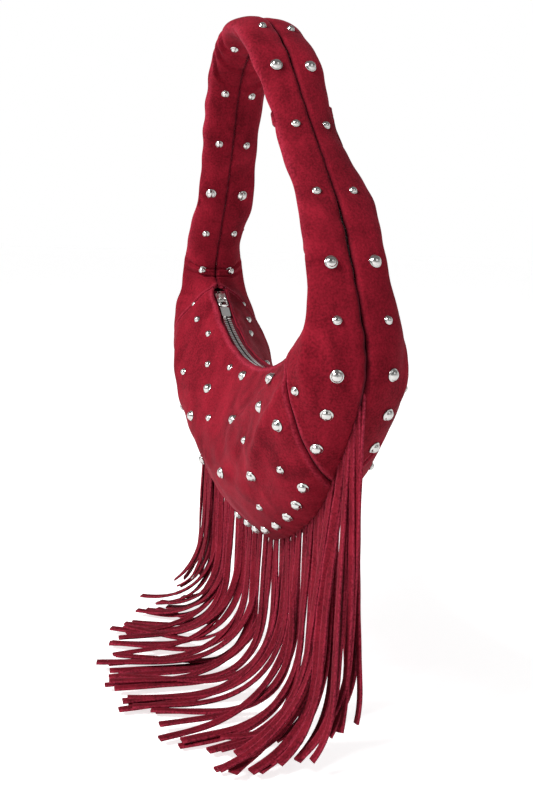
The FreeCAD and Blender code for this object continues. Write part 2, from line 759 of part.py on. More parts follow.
def write_parts():
    """Checks every object and shape, then writes one STEP file for each sub-part."""
    doc.recompute()
    for thing in doc.Objects:
        if "Invalid" in thing.State or "Error" in thing.State:
            raise RuntimeError("failed object: " + thing.Name)
    os.makedirs("parts", exist_ok=True)
    for thing in NODES:
        shape = thing.Shape
        if shape.isNull() or not shape.isValid() or not shape.Solids:
            raise RuntimeError("bad shape: " + thing.Label)
        shape.exportStep("parts/%s.step" % thing.Label)
    for thing in NODES:
        box = thing.Shape.BoundBox
        print("%-26s solids %3d volume %10.1f  x %.1f..%.1f y %.1f..%.1f z %.1f..%.1f"
              % (thing.Label, len(thing.Shape.Solids), thing.Shape.Volume, box.XMin, box.XMax,
                 box.YMin, box.YMax, box.ZMin, box.ZMax))


suede_panels()
linings()
strap_filling()
fringe()
zipper()
studs()
write_parts()
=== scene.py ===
import logging
import math
from dataclasses import dataclass, field
from enum import Enum

import bmesh
import bpy
import numpy as np
from mathutils import Matrix, Vector


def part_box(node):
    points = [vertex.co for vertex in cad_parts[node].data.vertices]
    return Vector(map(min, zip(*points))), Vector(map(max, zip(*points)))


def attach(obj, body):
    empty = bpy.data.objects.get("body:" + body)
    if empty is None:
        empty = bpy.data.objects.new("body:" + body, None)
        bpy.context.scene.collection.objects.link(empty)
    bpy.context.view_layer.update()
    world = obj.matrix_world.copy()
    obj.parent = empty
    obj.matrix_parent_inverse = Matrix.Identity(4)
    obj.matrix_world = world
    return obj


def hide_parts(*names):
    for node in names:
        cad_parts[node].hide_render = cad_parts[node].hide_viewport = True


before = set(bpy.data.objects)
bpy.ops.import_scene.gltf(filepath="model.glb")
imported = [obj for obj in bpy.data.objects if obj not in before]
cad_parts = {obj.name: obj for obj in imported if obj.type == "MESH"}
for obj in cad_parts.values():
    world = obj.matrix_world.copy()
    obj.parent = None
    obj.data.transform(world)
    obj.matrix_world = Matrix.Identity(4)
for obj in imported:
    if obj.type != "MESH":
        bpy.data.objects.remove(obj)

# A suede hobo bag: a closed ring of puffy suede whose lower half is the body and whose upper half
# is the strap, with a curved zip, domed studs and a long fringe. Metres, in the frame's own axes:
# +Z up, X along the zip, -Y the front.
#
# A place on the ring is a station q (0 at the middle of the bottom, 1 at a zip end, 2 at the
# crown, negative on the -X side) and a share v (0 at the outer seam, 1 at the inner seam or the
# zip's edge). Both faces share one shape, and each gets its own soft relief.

log = logging.getLogger("bag")


class Side(Enum):
    """The two faces of the bag, by the sign of their Y."""
    FRONT = -1.0
    BACK = 1.0

    @property
    def word(self) -> str:
        """The side's name in piece names."""
        return self.name.lower()


def smooth_step(value: np.ndarray) -> np.ndarray:
    """0 below 0, 1 above 1, and 3x^2 - 2x^3 between."""
    value = np.clip(value, 0.0, 1.0)
    return value * value * (3 - 2 * value)


def bump(distance: np.ndarray, width: float) -> np.ndarray:
    """A bell: e to the minus (distance / width) squared."""
    return np.exp(-(distance / width) ** 2)


def natural_spline(knots: np.ndarray, values: np.ndarray, at: np.ndarray) -> np.ndarray:
    """A cubic spline through rows of values.

    Solves for the second derivatives M that make the slopes meet, with M = 0 at both ends, then
    takes each span's cubic.

    Args:
        knots: rising parameters, one for each row.
        values: one row for each knot.
        at: where to read it.

    Returns:
        One row for each parameter in at.
    """
    step = np.diff(knots)
    slope = np.diff(values, axis=0) / step[:, None]
    count = len(knots)
    matrix = np.eye(count)
    right = np.zeros_like(values)
    inner = np.arange(1, count - 1)
    matrix[inner, inner - 1] = step[:-1]
    matrix[inner, inner] = 2 * (step[:-1] + step[1:])
    matrix[inner, inner + 1] = step[1:]
    right[inner] = 6 * np.diff(slope, axis=0)
    curve = np.linalg.solve(matrix, right)
    span = np.clip(np.searchsorted(knots, at, side="right") - 1, 0, count - 2)
    width, low = step[span][:, None], (at - knots[span])[:, None]
    high = width - low
    ends = values[span] * high + values[span + 1] * low
    bend = (curve[span] * (high ** 3 - width ** 2 * high)
            + curve[span + 1] * (low ** 3 - width ** 2 * low))
    return ends / width + bend / (6 * width)


def cubic_taps(count: int, places: np.ndarray, closed: bool) -> tuple[np.ndarray, np.ndarray]:
    """Catmull-Rom taps that read an evenly spaced row of samples at any place.

    Args:
        count: samples in the row, over 0..1 (the last sample is before 1 on a closed row).
        places: where to read, from 0 to 1.
        closed: whether the row joins up.

    Returns:
        Four sample numbers and their four weights for each place, along the first axis.
    """
    spot = places * (count if closed else count - 1)
    first = np.floor(spot).astype(int)
    if not closed:
        first = np.clip(first, 0, count - 2)
    t = spot - first
    weights = np.stack([(-t + 2 * t ** 2 - t ** 3) / 2, (2 - 5 * t ** 2 + 3 * t ** 3) / 2,
                        (t + 4 * t ** 2 - 3 * t ** 3) / 2, (-t ** 2 + t ** 3) / 2])
    index = np.stack([first - 1, first, first + 1, first + 2])
    return (index % count if closed else np.clip(index, 0, count - 1)), weights


def spread(share: np.ndarray) -> np.ndarray:
    """Turns even steps over 0..1 into ones that are closer together near both ends.

    It is 0.5 less half a cosine, which is itself eased by its own size.
    """
    cosine = np.cos(math.pi * share)
    return 0.5 - 0.5 * cosine * (0.75 + 0.25 * np.abs(cosine))


def unspread(v: np.ndarray) -> np.ndarray:
    """The even step that spread() turns into v, read from a fine table of it."""
    table = np.linspace(0, 1, 2001)
    return np.interp(v, spread(table), table)


def soft_noise(points: np.ndarray, size: float, seed: int) -> np.ndarray:
    """A smooth wandering value of about -1 to 1: a sum of eight sine waves in random directions.

    Args:
        points: places, in metres, along the last axis.
        size: the waves' length in metres.
        seed: picks the directions and phases.

    Returns:
        One value for each point.
    """
    random = np.random.default_rng(seed)
    total = np.zeros(points.shape[:-1])
    for _ in range(8):
        direction = random.normal(size=3)
        direction *= random.uniform(0.6, 1.6) * 2 * math.pi / size / np.linalg.norm(direction)
        total += np.sin(points @ direction + random.uniform(0, 2 * math.pi))
    return total / 3.0


def grid_faces(rows: int, columns: int, start: int = 0, flip: bool = False,
               close_rows: bool = False, close_columns: bool = False) -> np.ndarray:
    """Quads of a grid of vertices kept row by row.

    Each quad joins a vertex, the next one in its row and the two under them; a closed direction
    joins its last line to its first.

    Args:
        rows: lines of vertices.
        columns: vertices in a line.
        start: the first vertex's number.
        flip: whether the quads are turned over.
        close_rows: whether the last line joins the first.
        close_columns: whether each line joins up.

    Returns:
        Rows of four vertex numbers.
    """
    row = np.arange(rows if close_rows else rows - 1)
    column = np.arange(columns if close_columns else columns - 1)
    a, b = np.meshgrid(row, column, indexing="ij")
    next_a, next_b = (a + 1) % rows, (b + 1) % columns
    quads = np.stack([a * columns + b, next_a * columns + b, next_a * columns + next_b,
                      a * columns + next_b], axis=-1).reshape(-1, 4) + start
    return quads[:, ::-1] if flip else quads


def grid_normals(points: np.ndarray, close_rows: bool = False) -> np.ndarray:
    """Unit normals of a grid: the cross product of its two central differences.

    Args:
        points: the grid.
        close_rows: whether its last line joins its first.

    Returns:
        A unit vector for each point.
    """
    if close_rows:
        along = np.roll(points, -1, axis=0) - np.roll(points, 1, axis=0)
    else:
        along = np.gradient(points, axis=0)
    normal = np.cross(along, np.gradient(points, axis=1))
    length = np.linalg.norm(normal, axis=-1, keepdims=True)
    return normal / np.maximum(length, 1e-12)


def make_mesh(name: str, points: np.ndarray, faces: np.ndarray | list[list[int]],
              values: dict[str, np.ndarray] | None = None, smooth: bool = True) -> bpy.types.Object:
    """A mesh object at the origin.

    Args:
        name: the piece's name.
        points: vertices, in metres.
        faces: quads or triangles as rows of vertex numbers.
        values: point attributes by name, each one number a vertex.
        smooth: whether its faces are shaded smooth.

    Returns:
        The object, in the scene.
    """
    mesh = bpy.data.meshes.new(name)
    faces = faces if isinstance(faces, list) else faces.tolist()
    mesh.from_pydata(points.reshape(-1, 3).tolist(), [], faces)
    mesh.update()
    mesh.polygons.foreach_set("use_smooth", np.full(len(mesh.polygons), smooth))
    for key, value in (values or {}).items():
        layer = mesh.attributes.new(key, "FLOAT", "POINT")
        layer.data.foreach_set("value", value.astype(np.float32).ravel())
    thing = bpy.data.objects.new(name, mesh)
    bpy.context.scene.collection.objects.link(thing)
    return thing


def closed_wall(outside: np.ndarray, inside: np.ndarray) -> tuple[np.ndarray, np.ndarray]:
    """A closed sheet with thickness, from the grids of its two faces.

    The inner grid's faces are turned over, and a strip of quads joins the two grids all the way
    round their border.

    Args:
        outside: the face that the grid's normals point out of.
        inside: the other face, on a grid of the same size.

    Returns:
        Its vertices, and its quads as rows of vertex numbers.
    """
    rows, columns = outside.shape[:2]
    count = rows * columns
    index = np.arange(count).reshape(rows, columns)
    border = np.concatenate([index[0, :], index[1:, -1], index[-1, -2::-1], index[-2::-1, 0]])[::-1]
    a, b = border[:-1], border[1:]
    faces = [grid_faces(rows, columns), grid_faces(rows, columns, start=count, flip=True),
             np.stack([a, b, b + count, a + count], axis=-1)]
    points = np.concatenate([outside.reshape(-1, 3), inside.reshape(-1, 3)])
    return points, np.concatenate(faces)


def face_outwards(thing: bpy.types.Object) -> None:
    """Recalculates a closed mesh's normals so that its faces point out.

    Args:
        thing: the piece.
    """
    work = bmesh.new()
    work.from_mesh(thing.data)
    bmesh.ops.recalc_face_normals(work, faces=work.faces)
    work.to_mesh(thing.data)
    work.free()


def dress(thing: bpy.types.Object, node: str, material: bpy.types.Material) -> None:
    """Turns a new piece's faces outwards, gives it its finish and body, and hides the solid that it
    stands for.

    Args:
        thing: the piece.
        node: the solid that it stands for.
        material: its finish.
    """
    face_outwards(thing)
    thing.data.materials.append(material)
    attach(thing, "root")
    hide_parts(node)


class Nodes:
    """A short way to wire up a material."""

    def __init__(self, name: str) -> None:
        """An empty material with a Principled shader."""
        self.material = bpy.data.materials.new(name)
        self.material.use_nodes = True
        self.tree = self.material.node_tree
        self.shader = self.tree.nodes["Principled BSDF"]
        self.where = self.add("TexCoord").outputs["Object"]

    def add(self, kind: str, links: dict[str, object] | None = None,
            **settings: object) -> bpy.types.Node:
        """A node with its properties set and its sockets linked or given a value.

        Args:
            kind: the node's type, without ShaderNode.
            links: a socket or a value for each input, by name or number.
            settings: the node's own properties.

        Returns:
            The node.
        """
        node = self.tree.nodes.new("ShaderNode" + kind)
        for key, value in settings.items():
            setattr(node, key, value)
        for key, value in (links or {}).items():
            socket = node.inputs[int(key)] if key.isdigit() else node.inputs[key]
            if isinstance(value, bpy.types.NodeSocket):
                self.tree.links.new(value, socket)
            else:
                socket.default_value = value
        return node

    def link(self, source: bpy.types.NodeSocket, socket: str) -> None:
        """Links a socket to the shader."""
        self.tree.links.new(source, self.shader.inputs[socket])

    def noise(self, scale: float, detail: float = 3.0, distortion: float = 0.0,
              where: bpy.types.NodeSocket | None = None) -> bpy.types.NodeSocket:
        """A noise field's value."""
        node = self.add("TexNoise", {"Vector": where or self.where, "Scale": scale,
                                     "Detail": detail, "Distortion": distortion})
        return node.outputs["Fac"]

    def ramp(self, value: bpy.types.NodeSocket, low: float, high: float, out_low: float = 0.0,
             out_high: float = 1.0) -> bpy.types.NodeSocket:
        """Maps low..high onto out_low..out_high, held at the ends."""
        node = self.add("MapRange", {"Value": value, "From Min": low, "From Max": high,
                                     "To Min": out_low, "To Max": out_high})
        return node.outputs["Result"]

    def streaks(self, scales: tuple[float, float, float], detail: float) -> bpy.types.NodeSocket:
        """A noise field drawn out along an axis, by its scale on each."""
        drawn = self.add("Mapping", {"Vector": self.where, "Scale": scales}).outputs[0]
        return self.noise(1.0, detail, where=drawn)

    def mix(self, share: object, one: object, other: object) -> bpy.types.NodeSocket:
        """Mixes two colours."""
        return self.add("Mix", {"0": share, "6": one, "7": other}, data_type="RGBA").outputs[2]

    def maths(self, operation: str, one: object, other: object = 0.0) -> bpy.types.NodeSocket:
        """A sum, product or other operation on two numbers."""
        return self.add("Math", {"0": one, "1": other}, operation=operation).outputs[0]

    def bumps(self, heights: list[tuple[bpy.types.NodeSocket, float, float]]) -> None:
        """Chains bumps of (height, strength, distance) into the shader's normal.

        Args:
            heights: the bumps, first one first.
        """
        normal = None
        for height, strength, distance in heights:
            links = {"Height": height, "Strength": strength, "Distance": distance}
            if normal is not None:
                links["Normal"] = normal
            normal = self.add("Bump", links).outputs["Normal"]
        self.link(normal, "Normal")


@dataclass(frozen=True)
class Suede:
    """Napped suede: brushed patches, fine fibres, and seams darkened with painted shade where their
    grooves lie.
    """
    name: str
    light: tuple[float, float, float] = (0.215, 0.0062, 0.0170)
    dark: tuple[float, float, float] = (0.085, 0.0019, 0.0062)
    # The colour of the painted shade in the seams' grooves.
    seam: tuple[float, float, float] = (0.040, 0.0012, 0.0050)
    worn: tuple[float, float, float] = (0.360, 0.0300, 0.0600)
    sheen: float = 0.09

    def material(self) -> bpy.types.Material:
        """Builds the material; it reads the attributes seam, a mask of painted shade along the
        seams' grooves, and edge.

        Returns:
            The material.
        """
        nodes = Nodes(self.name)
        patches = nodes.noise(22.0, 4.0, 1.2)
        brushed = nodes.streaks((90.0, 90.0, 22.0), 4.0)
        specks = nodes.noise(620.0, 3.0)
        fibres = nodes.noise(3200.0, 2.0)
        tone = nodes.maths("ADD", nodes.ramp(patches, 0.3, 0.7, -0.05, 0.55),
                           nodes.ramp(brushed, 0.3, 0.7, -0.05, 0.35))
        tone = nodes.maths("ADD", tone, nodes.ramp(specks, 0.32, 0.68, -0.25, 0.35))
        colour = nodes.mix(tone, self.dark + (1,), self.light + (1,))
        edge = nodes.add("Attribute", attribute_name="edge").outputs["Fac"]
        seam = nodes.add("Attribute", attribute_name="seam").outputs["Fac"]
        rubbed = nodes.maths("MULTIPLY", edge, nodes.ramp(specks, 0.35, 0.6, 0.25, 1.0))
        colour = nodes.mix(rubbed, colour, self.worn + (1,))
        # Painted shade: darkens the colour towards seam where the seam attribute marks a groove.
        colour = nodes.mix(nodes.maths("MULTIPLY", seam, 0.8), colour, self.seam + (1,))
        nodes.link(colour, "Base Color")
        nodes.link(nodes.ramp(patches, 0.3, 0.7, 0.95, 0.82), "Roughness")
        shader = nodes.shader.inputs
        shader["Specular IOR Level"].default_value = 0.07
        shader["Sheen Weight"].default_value = self.sheen
        shader["Sheen Roughness"].default_value = 0.35
        shader["Sheen Tint"].default_value = (1.0, 0.22, 0.32, 1.0)
        nodes.bumps([(patches, 0.25, 0.0012), (specks, 0.45, 0.0006), (fibres, 0.4, 0.00025)])
        return nodes.material


@dataclass(frozen=True)
class PolishedMetal:
    """Nickel plate: nearly mirror-like, with faint scratches and a little haze."""
    name: str
    colour: tuple[float, float, float] = (0.50, 0.49, 0.475)
    haze: float = 0.16

    def material(self) -> bpy.types.Material:
        """Builds the material.

        Returns:
            The material.
        """
        nodes = Nodes(self.name)
        smear = nodes.noise(260.0, 3.0)
        scratch = nodes.streaks((2600.0, 500.0, 2600.0), 2.0)
        tone = nodes.ramp(smear, 0.3, 0.7, 0.82, 1.0)
        nodes.link(nodes.mix(tone, (0.24, 0.235, 0.23, 1), self.colour + (1,)), "Base Color")
        nodes.link(nodes.ramp(smear, 0.3, 0.7, self.haze - 0.06, self.haze + 0.12), "Roughness")
        nodes.shader.inputs["Metallic"].default_value = 1.0
        nodes.bumps([(scratch, 0.05, 0.0001), (smear, 0.12, 0.0004)])
        return nodes.material


@dataclass(frozen=True)
class Weave:
    """Woven cloth or tape: two crossing sets of threads with uneven tone."""
    name: str
    warp: tuple[float, float, float]
    weft: tuple[float, float, float]
    threads: float = 2200.0
    slant: float = 0.0

    def material(self) -> bpy.types.Material:
        """Builds the material from waves along two directions on Object coordinates.

        Returns:
            The material.
        """
        nodes = Nodes(self.name)
        turned = nodes.add("Mapping", {"Vector": nodes.where,
                                       "Rotation": (0.0, self.slant, 0.0)}).outputs[0]
        scale = self.threads / (2 * math.pi)
        sets = [nodes.add("TexWave", {"Vector": turned, "Scale": scale, "Distortion": 0.6},
                          bands_direction=way).outputs["Fac"] for way in ("X", "Z")]
        checks = nodes.maths("MULTIPLY", *sets)
        blotch = nodes.noise(60.0, 3.0)
        colour = nodes.mix(sets[0], self.weft + (1,), self.warp + (1,))
        colour = nodes.mix(nodes.ramp(blotch, 0.3, 0.7, 0.0, 0.3), colour, (0.01, 0.002, 0.004, 1))
        nodes.link(colour, "Base Color")
        nodes.link(nodes.ramp(blotch, 0.3, 0.7, 0.72, 0.92), "Roughness")
        nodes.shader.inputs["Specular IOR Level"].default_value = 0.15
        nodes.bumps([(checks, 0.5, 0.00025), (blotch, 0.15, 0.001)])
        return nodes.material


@dataclass
class Finishes:
    """The bag's materials, made once."""
    suede: bpy.types.Material = field(default_factory=lambda: Suede("suede_nap").material())
    # The fringe's suede is a darker copy of the body's suede: painted shade for the shadow under
    # the bag and between the strips.
    strip: bpy.types.Material = field(default_factory=lambda: Suede(
        "suede_strip", light=(0.150, 0.0045, 0.0125), dark=(0.045, 0.0010, 0.0034),
        sheen=0.06).material())
    stud: bpy.types.Material = field(default_factory=lambda: PolishedMetal(
        "stud_nickel").material())
    # The zip's nickel is a lighter copy of the studs' nickel: painted light, to lift the zip out of
    # the shade in the mouth.
    zip: bpy.types.Material = field(default_factory=lambda: PolishedMetal(
        "zip_nickel", colour=(0.90, 0.89, 0.87), haze=0.14).material())
    tape: bpy.types.Material = field(default_factory=lambda: Weave(
        "zip_tape_weave", (0.150, 0.008, 0.020), (0.080, 0.004, 0.011)).material())
    lining: bpy.types.Material = field(default_factory=lambda: Weave(
        "lining_twill", (0.10, 0.010, 0.020), (0.05, 0.005, 0.010), 1500.0, 0.7).material())
    foam: bpy.types.Material = field(default_factory=lambda: Weave(
        "padding_fleece", (0.62, 0.60, 0.55), (0.50, 0.48, 0.44), 700.0, 0.4).material())
    webbing: bpy.types.Material = field(default_factory=lambda: Weave(
        "stay_webbing", (0.60, 0.58, 0.52), (0.42, 0.41, 0.37), 1200.0).material())


@dataclass(frozen=True)
class Fold:
    """A soft ridge on a face, from one (x, z) point to another, fading at both ends."""
    start: tuple[float, float]
    end: tuple[float, float]
    width: float
    height: float

    def lift(self, x: np.ndarray, z: np.ndarray) -> np.ndarray:
        """Height: a bell across the line times a sine along it.

        Args:
            x: places along the zip.
            z: heights of the same places.

        Returns:
            A lift for each place.
        """
        start, end = np.array(self.start), np.array(self.end)
        way = end - start
        length = float(np.hypot(*way))
        way = way / length
        along = ((x - start[0]) * way[0] + (z - start[1]) * way[1]) / length
        across = (x - start[0]) * -way[1] + (z - start[1]) * way[0]
        fade = np.sin(math.pi * np.clip(along, 0, 1)) ** 0.7
        return self.height * fade * bump(across, self.width * (0.6 + 0.8 * np.clip(along, 0, 1)))


@dataclass
class Ring:
    """The bag's outline and section, in metres."""
    half_width: float = 0.190
    zip_end_drop: float = 0.194
    zip_half_span: float = 0.143
    zip_sag: float = 0.068
    body_height: float = 0.150
    body_half_depth: float = 0.047
    strap_half_depth: float = 0.027
    strap_thick: float = 0.020
    mouth_half_gap: float = 0.008
    side_seam: float = 0.54
    side_seam_top: float = 0.95
    side_seam_bend: float = 0.75
    crown: float = 2.0
    gap_open_until: float = 0.90
    gap_closed_from: float = 0.965
    end_slimming: float = 0.34
    # station, x share of the half width, rise share of the body's height, depth share
    body_stations: tuple[tuple[float, float, float, float], ...] = (
        (0.00, 0.000, 0.000, 1.00), (0.16, 0.263, 0.067, 1.00), (0.33, 0.553, 0.267, 1.00),
        (0.54, 0.779, 0.547, 1.00), (0.77, 1.000, 1.007, 0.97), (1.00, 0.984, 1.340, 0.81))
    # station, x share of the zip's half span, drop share, thickness share, depth share
    strap_stations: tuple[tuple[float, float, float, float, float], ...] = (
        (1.25, 0.979, 0.866, 1.20, 1.10), (1.50, 0.755, 0.593, 0.95, 1.00),
        (1.72, 0.490, 0.300, 1.00, 0.97), (1.88, 0.255, 0.077, 1.05, 1.00),
        (2.00, 0.000, 0.000, 1.10, 1.00))

    def __post_init__(self) -> None:
        """Works out the zip's arc and the two seam splines' stations."""
        self.zip_radius = (self.zip_half_span ** 2 + self.zip_sag ** 2) / (2 * self.zip_sag)
        self.zip_angle = math.asin(self.zip_half_span / self.zip_radius)
        self.zip_bottom = -self.zip_end_drop - self.zip_sag
        self.zip_centre = self.zip_bottom + self.zip_radius
        self.bottom = self.zip_bottom - self.body_height
        body, strap = np.array(self.body_stations), np.array(self.strap_stations)
        knots = np.concatenate([body[:, 0], strap[:, 0]])
        inner = np.concatenate([self.on_zip(self.zip_radius, body[:, 0] * self.zip_angle),
                                np.stack([strap[:, 1] * self.zip_half_span,
                                          -strap[:, 2] * self.zip_end_drop], axis=1)])
        self.inner_knots, self.inner_rows = self.wrap(knots, inner)
        foot = self.inner_at(strap[:, 0])
        ahead = self.inner_at(strap[:, 0] + 1e-4) - self.inner_at(strap[:, 0] - 1e-4)
        ahead /= np.linalg.norm(ahead, axis=1, keepdims=True)
        away = np.stack([ahead[:, 1], -ahead[:, 0]], axis=1)
        shell = foot + away * (strap[:, 3] * self.strap_thick)[:, None]
        shell[-1, 0] = 0.0
        outer = np.concatenate([
            np.stack([body[:, 1] * self.half_width, self.bottom + body[:, 2] * self.body_height,
                      body[:, 3] * self.body_half_depth], axis=1),
            np.concatenate([shell, (strap[:, 4] * self.strap_half_depth)[:, None]], axis=1)])
        self.outer_knots, self.outer_rows = self.wrap(knots, outer)

    def on_zip(self, radius: float, angle: np.ndarray) -> np.ndarray:
        """(x, z) on an arc about the zip's centre; angle 0 is straight down."""
        return np.stack([radius * np.sin(angle), self.zip_centre - radius * np.cos(angle)], axis=-1)

    def wrap(self, knots: np.ndarray, rows: np.ndarray) -> tuple[np.ndarray, np.ndarray]:
        """Mirrors the +X half's rows and repeats them half a turn past each end.

        Args:
            knots: stations from 0 to the crown.
            rows: one row for each, with x first.

        Returns:
            The stations and rows of more than a whole turn.
        """
        flip = np.ones(rows.shape[1])
        flip[0] = -1.0
        whole_knots = np.concatenate([-knots[1:-1][::-1], knots])
        whole = np.concatenate([rows[1:-1][::-1] * flip, rows])
        turn = 2 * self.crown
        late, early = whole_knots > 0, whole_knots < 0
        return (np.concatenate([whole_knots[late] - turn, whole_knots, whole_knots[early] + turn]),
                np.concatenate([whole[late], whole, whole[early]]))

    def wrapped(self, q: np.ndarray) -> np.ndarray:
        """The same station between -2 and 2."""
        return (q + self.crown) % (2 * self.crown) - self.crown

    def inner_at(self, q: np.ndarray) -> np.ndarray:
        """(x, z) of the inner seam, or of the suede's edge along the zip's exact arc.

        Args:
            q: stations.

        Returns:
            A row for each station.
        """
        q = self.wrapped(q)
        seam = natural_spline(self.inner_knots, self.inner_rows, q)
        arc = self.on_zip(self.zip_radius, q * self.zip_angle)
        return np.where(np.abs(q)[:, None] <= 1.0, arc, seam)

    def outer_at(self, q: np.ndarray) -> np.ndarray:
        """(x, z, half depth) of the outer seam."""
        return natural_spline(self.outer_knots, self.outer_rows, self.wrapped(q))

    def sway(self, q: np.ndarray, v: np.ndarray) -> np.ndarray:
        """How far the soft ring leans out of its own plane, as the bag hangs: (x, y) offsets.

        The crown leans forward and over, and the body sags back but for its edge at the zip.

        Args:
            q: stations.
            v: shares from the outer seam to the inner one.

        Returns:
            An offset for each place.
        """
        q = self.wrapped(q)
        lean_x = -0.008 * smooth_step((np.abs(q) - 1.3) / 0.6)
        body = smooth_step((1.3 - np.abs(q)) / 0.4)
        sag = 0.0065 - 0.0020 * smooth_step((q + 1.0) / 2.0)
        lean_y = (-0.010 * bump(np.abs(q) - 2.0, 0.35) + 0.003 * bump(q - 1.45, 0.3)
                  + sag * body * (1 - v ** 3))
        return np.stack([lean_x, lean_y], axis=-1)

    def seam_station(self, v: np.ndarray) -> np.ndarray:
        """The side seam's station, which leans from the bottom seam to the zip's end."""
        return self.side_seam + (self.side_seam_top - self.side_seam) * v ** self.side_seam_bend

    def skin(self, side: Side, q: np.ndarray, v: np.ndarray, inset: float = 0.0,
             top_inset: float | None = None) -> np.ndarray:
        """Points of one face for arrays of q and v that broadcast together.

        A section runs straight from the outer seam to the inner one, and its depth is the ring's
        half depth times a power of a sine of v: flat-sided on the strap, a drop on the body. Over
        the zip the edge stands off the middle by half the mouth's gap.

        Args:
            side: the face.
            q: stations.
            v: shares from the outer seam to the inner one.
            inset: how far the section is drawn in all round.
            top_inset: how far its inner end is drawn in, if that differs.

        Returns:
            Points, in the shape of q and v.
        """
        q, v = np.broadcast_arrays(q, v)
        shape, q, v = q.shape, self.wrapped(q.ravel()), np.clip(v.ravel(), 0, 1)
        outer, inner = self.outer_at(q), self.inner_at(q)
        half_depth, outer = outer[:, 2], outer[:, :2]
        along = inner - outer
        along /= np.linalg.norm(along, axis=1, keepdims=True)
        end = inner - along * (inset if top_inset is None else top_inset)
        place = outer + along * inset
        place = place + (end - place) * v[:, None]
        body = smooth_step((1.2 - np.abs(q)) / 0.4)
        bottom = smooth_step((0.75 - np.abs(q)) / 0.45)
        power = (0.42 + 0.10 * body + 0.43 * bottom) * (1 - v) + (0.42 + 0.58 * body) * v
        full = np.sin(math.pi * v ** (1 - 0.15 * body)) ** power
        full = np.where((v <= 0) | (v >= 1), 0.0, full)
        share = (np.abs(q) - self.gap_open_until) / (self.gap_closed_from - self.gap_open_until)
        gap = self.mouth_half_gap * (1 - smooth_step(share))
        slim = 1 - self.end_slimming * bump(np.abs(q) - 0.98, 0.24) * smooth_step((v - 0.25) / 0.45)
        depth = (half_depth * slim - inset) * full + gap * v ** 3 + 0.0002
        sway = self.sway(q, v)
        points = np.stack([place[:, 0] + sway[:, 0], side.value * depth + sway[:, 1], place[:, 1]],
                          axis=-1)
        return points.reshape(shape + (3,))


@dataclass(frozen=True)
class Crease:
    """A short dent in a face, across the ring at one station, slanting by so much along v."""
    station: float
    share: float
    slant: float
    reach: float
    width: float
    depth: float

    def lift(self, q: np.ndarray, v: np.ndarray) -> np.ndarray:
        """Height: a bell across the slanting line times one along it, with a puffed lip beside.

        Args:
            q: stations.
            v: shares from the outer seam to the inner one.

        Returns:
            A lift for each place.
        """
        across = q - self.station - self.slant * (v - self.share)
        along = bump(v - self.share, self.reach)
        return self.depth * along * (0.5 * bump(across - 1.6 * self.width, self.width)
                                     - bump(across, self.width))


# How the cloth that fills out the faces behaves.
CLOTH = {"quality": 6, "mass": 0.25, "tension_stiffness": 12, "compression_stiffness": 12,
         "shear_stiffness": 4, "bending_stiffness": 1.2, "air_damping": 3.0}


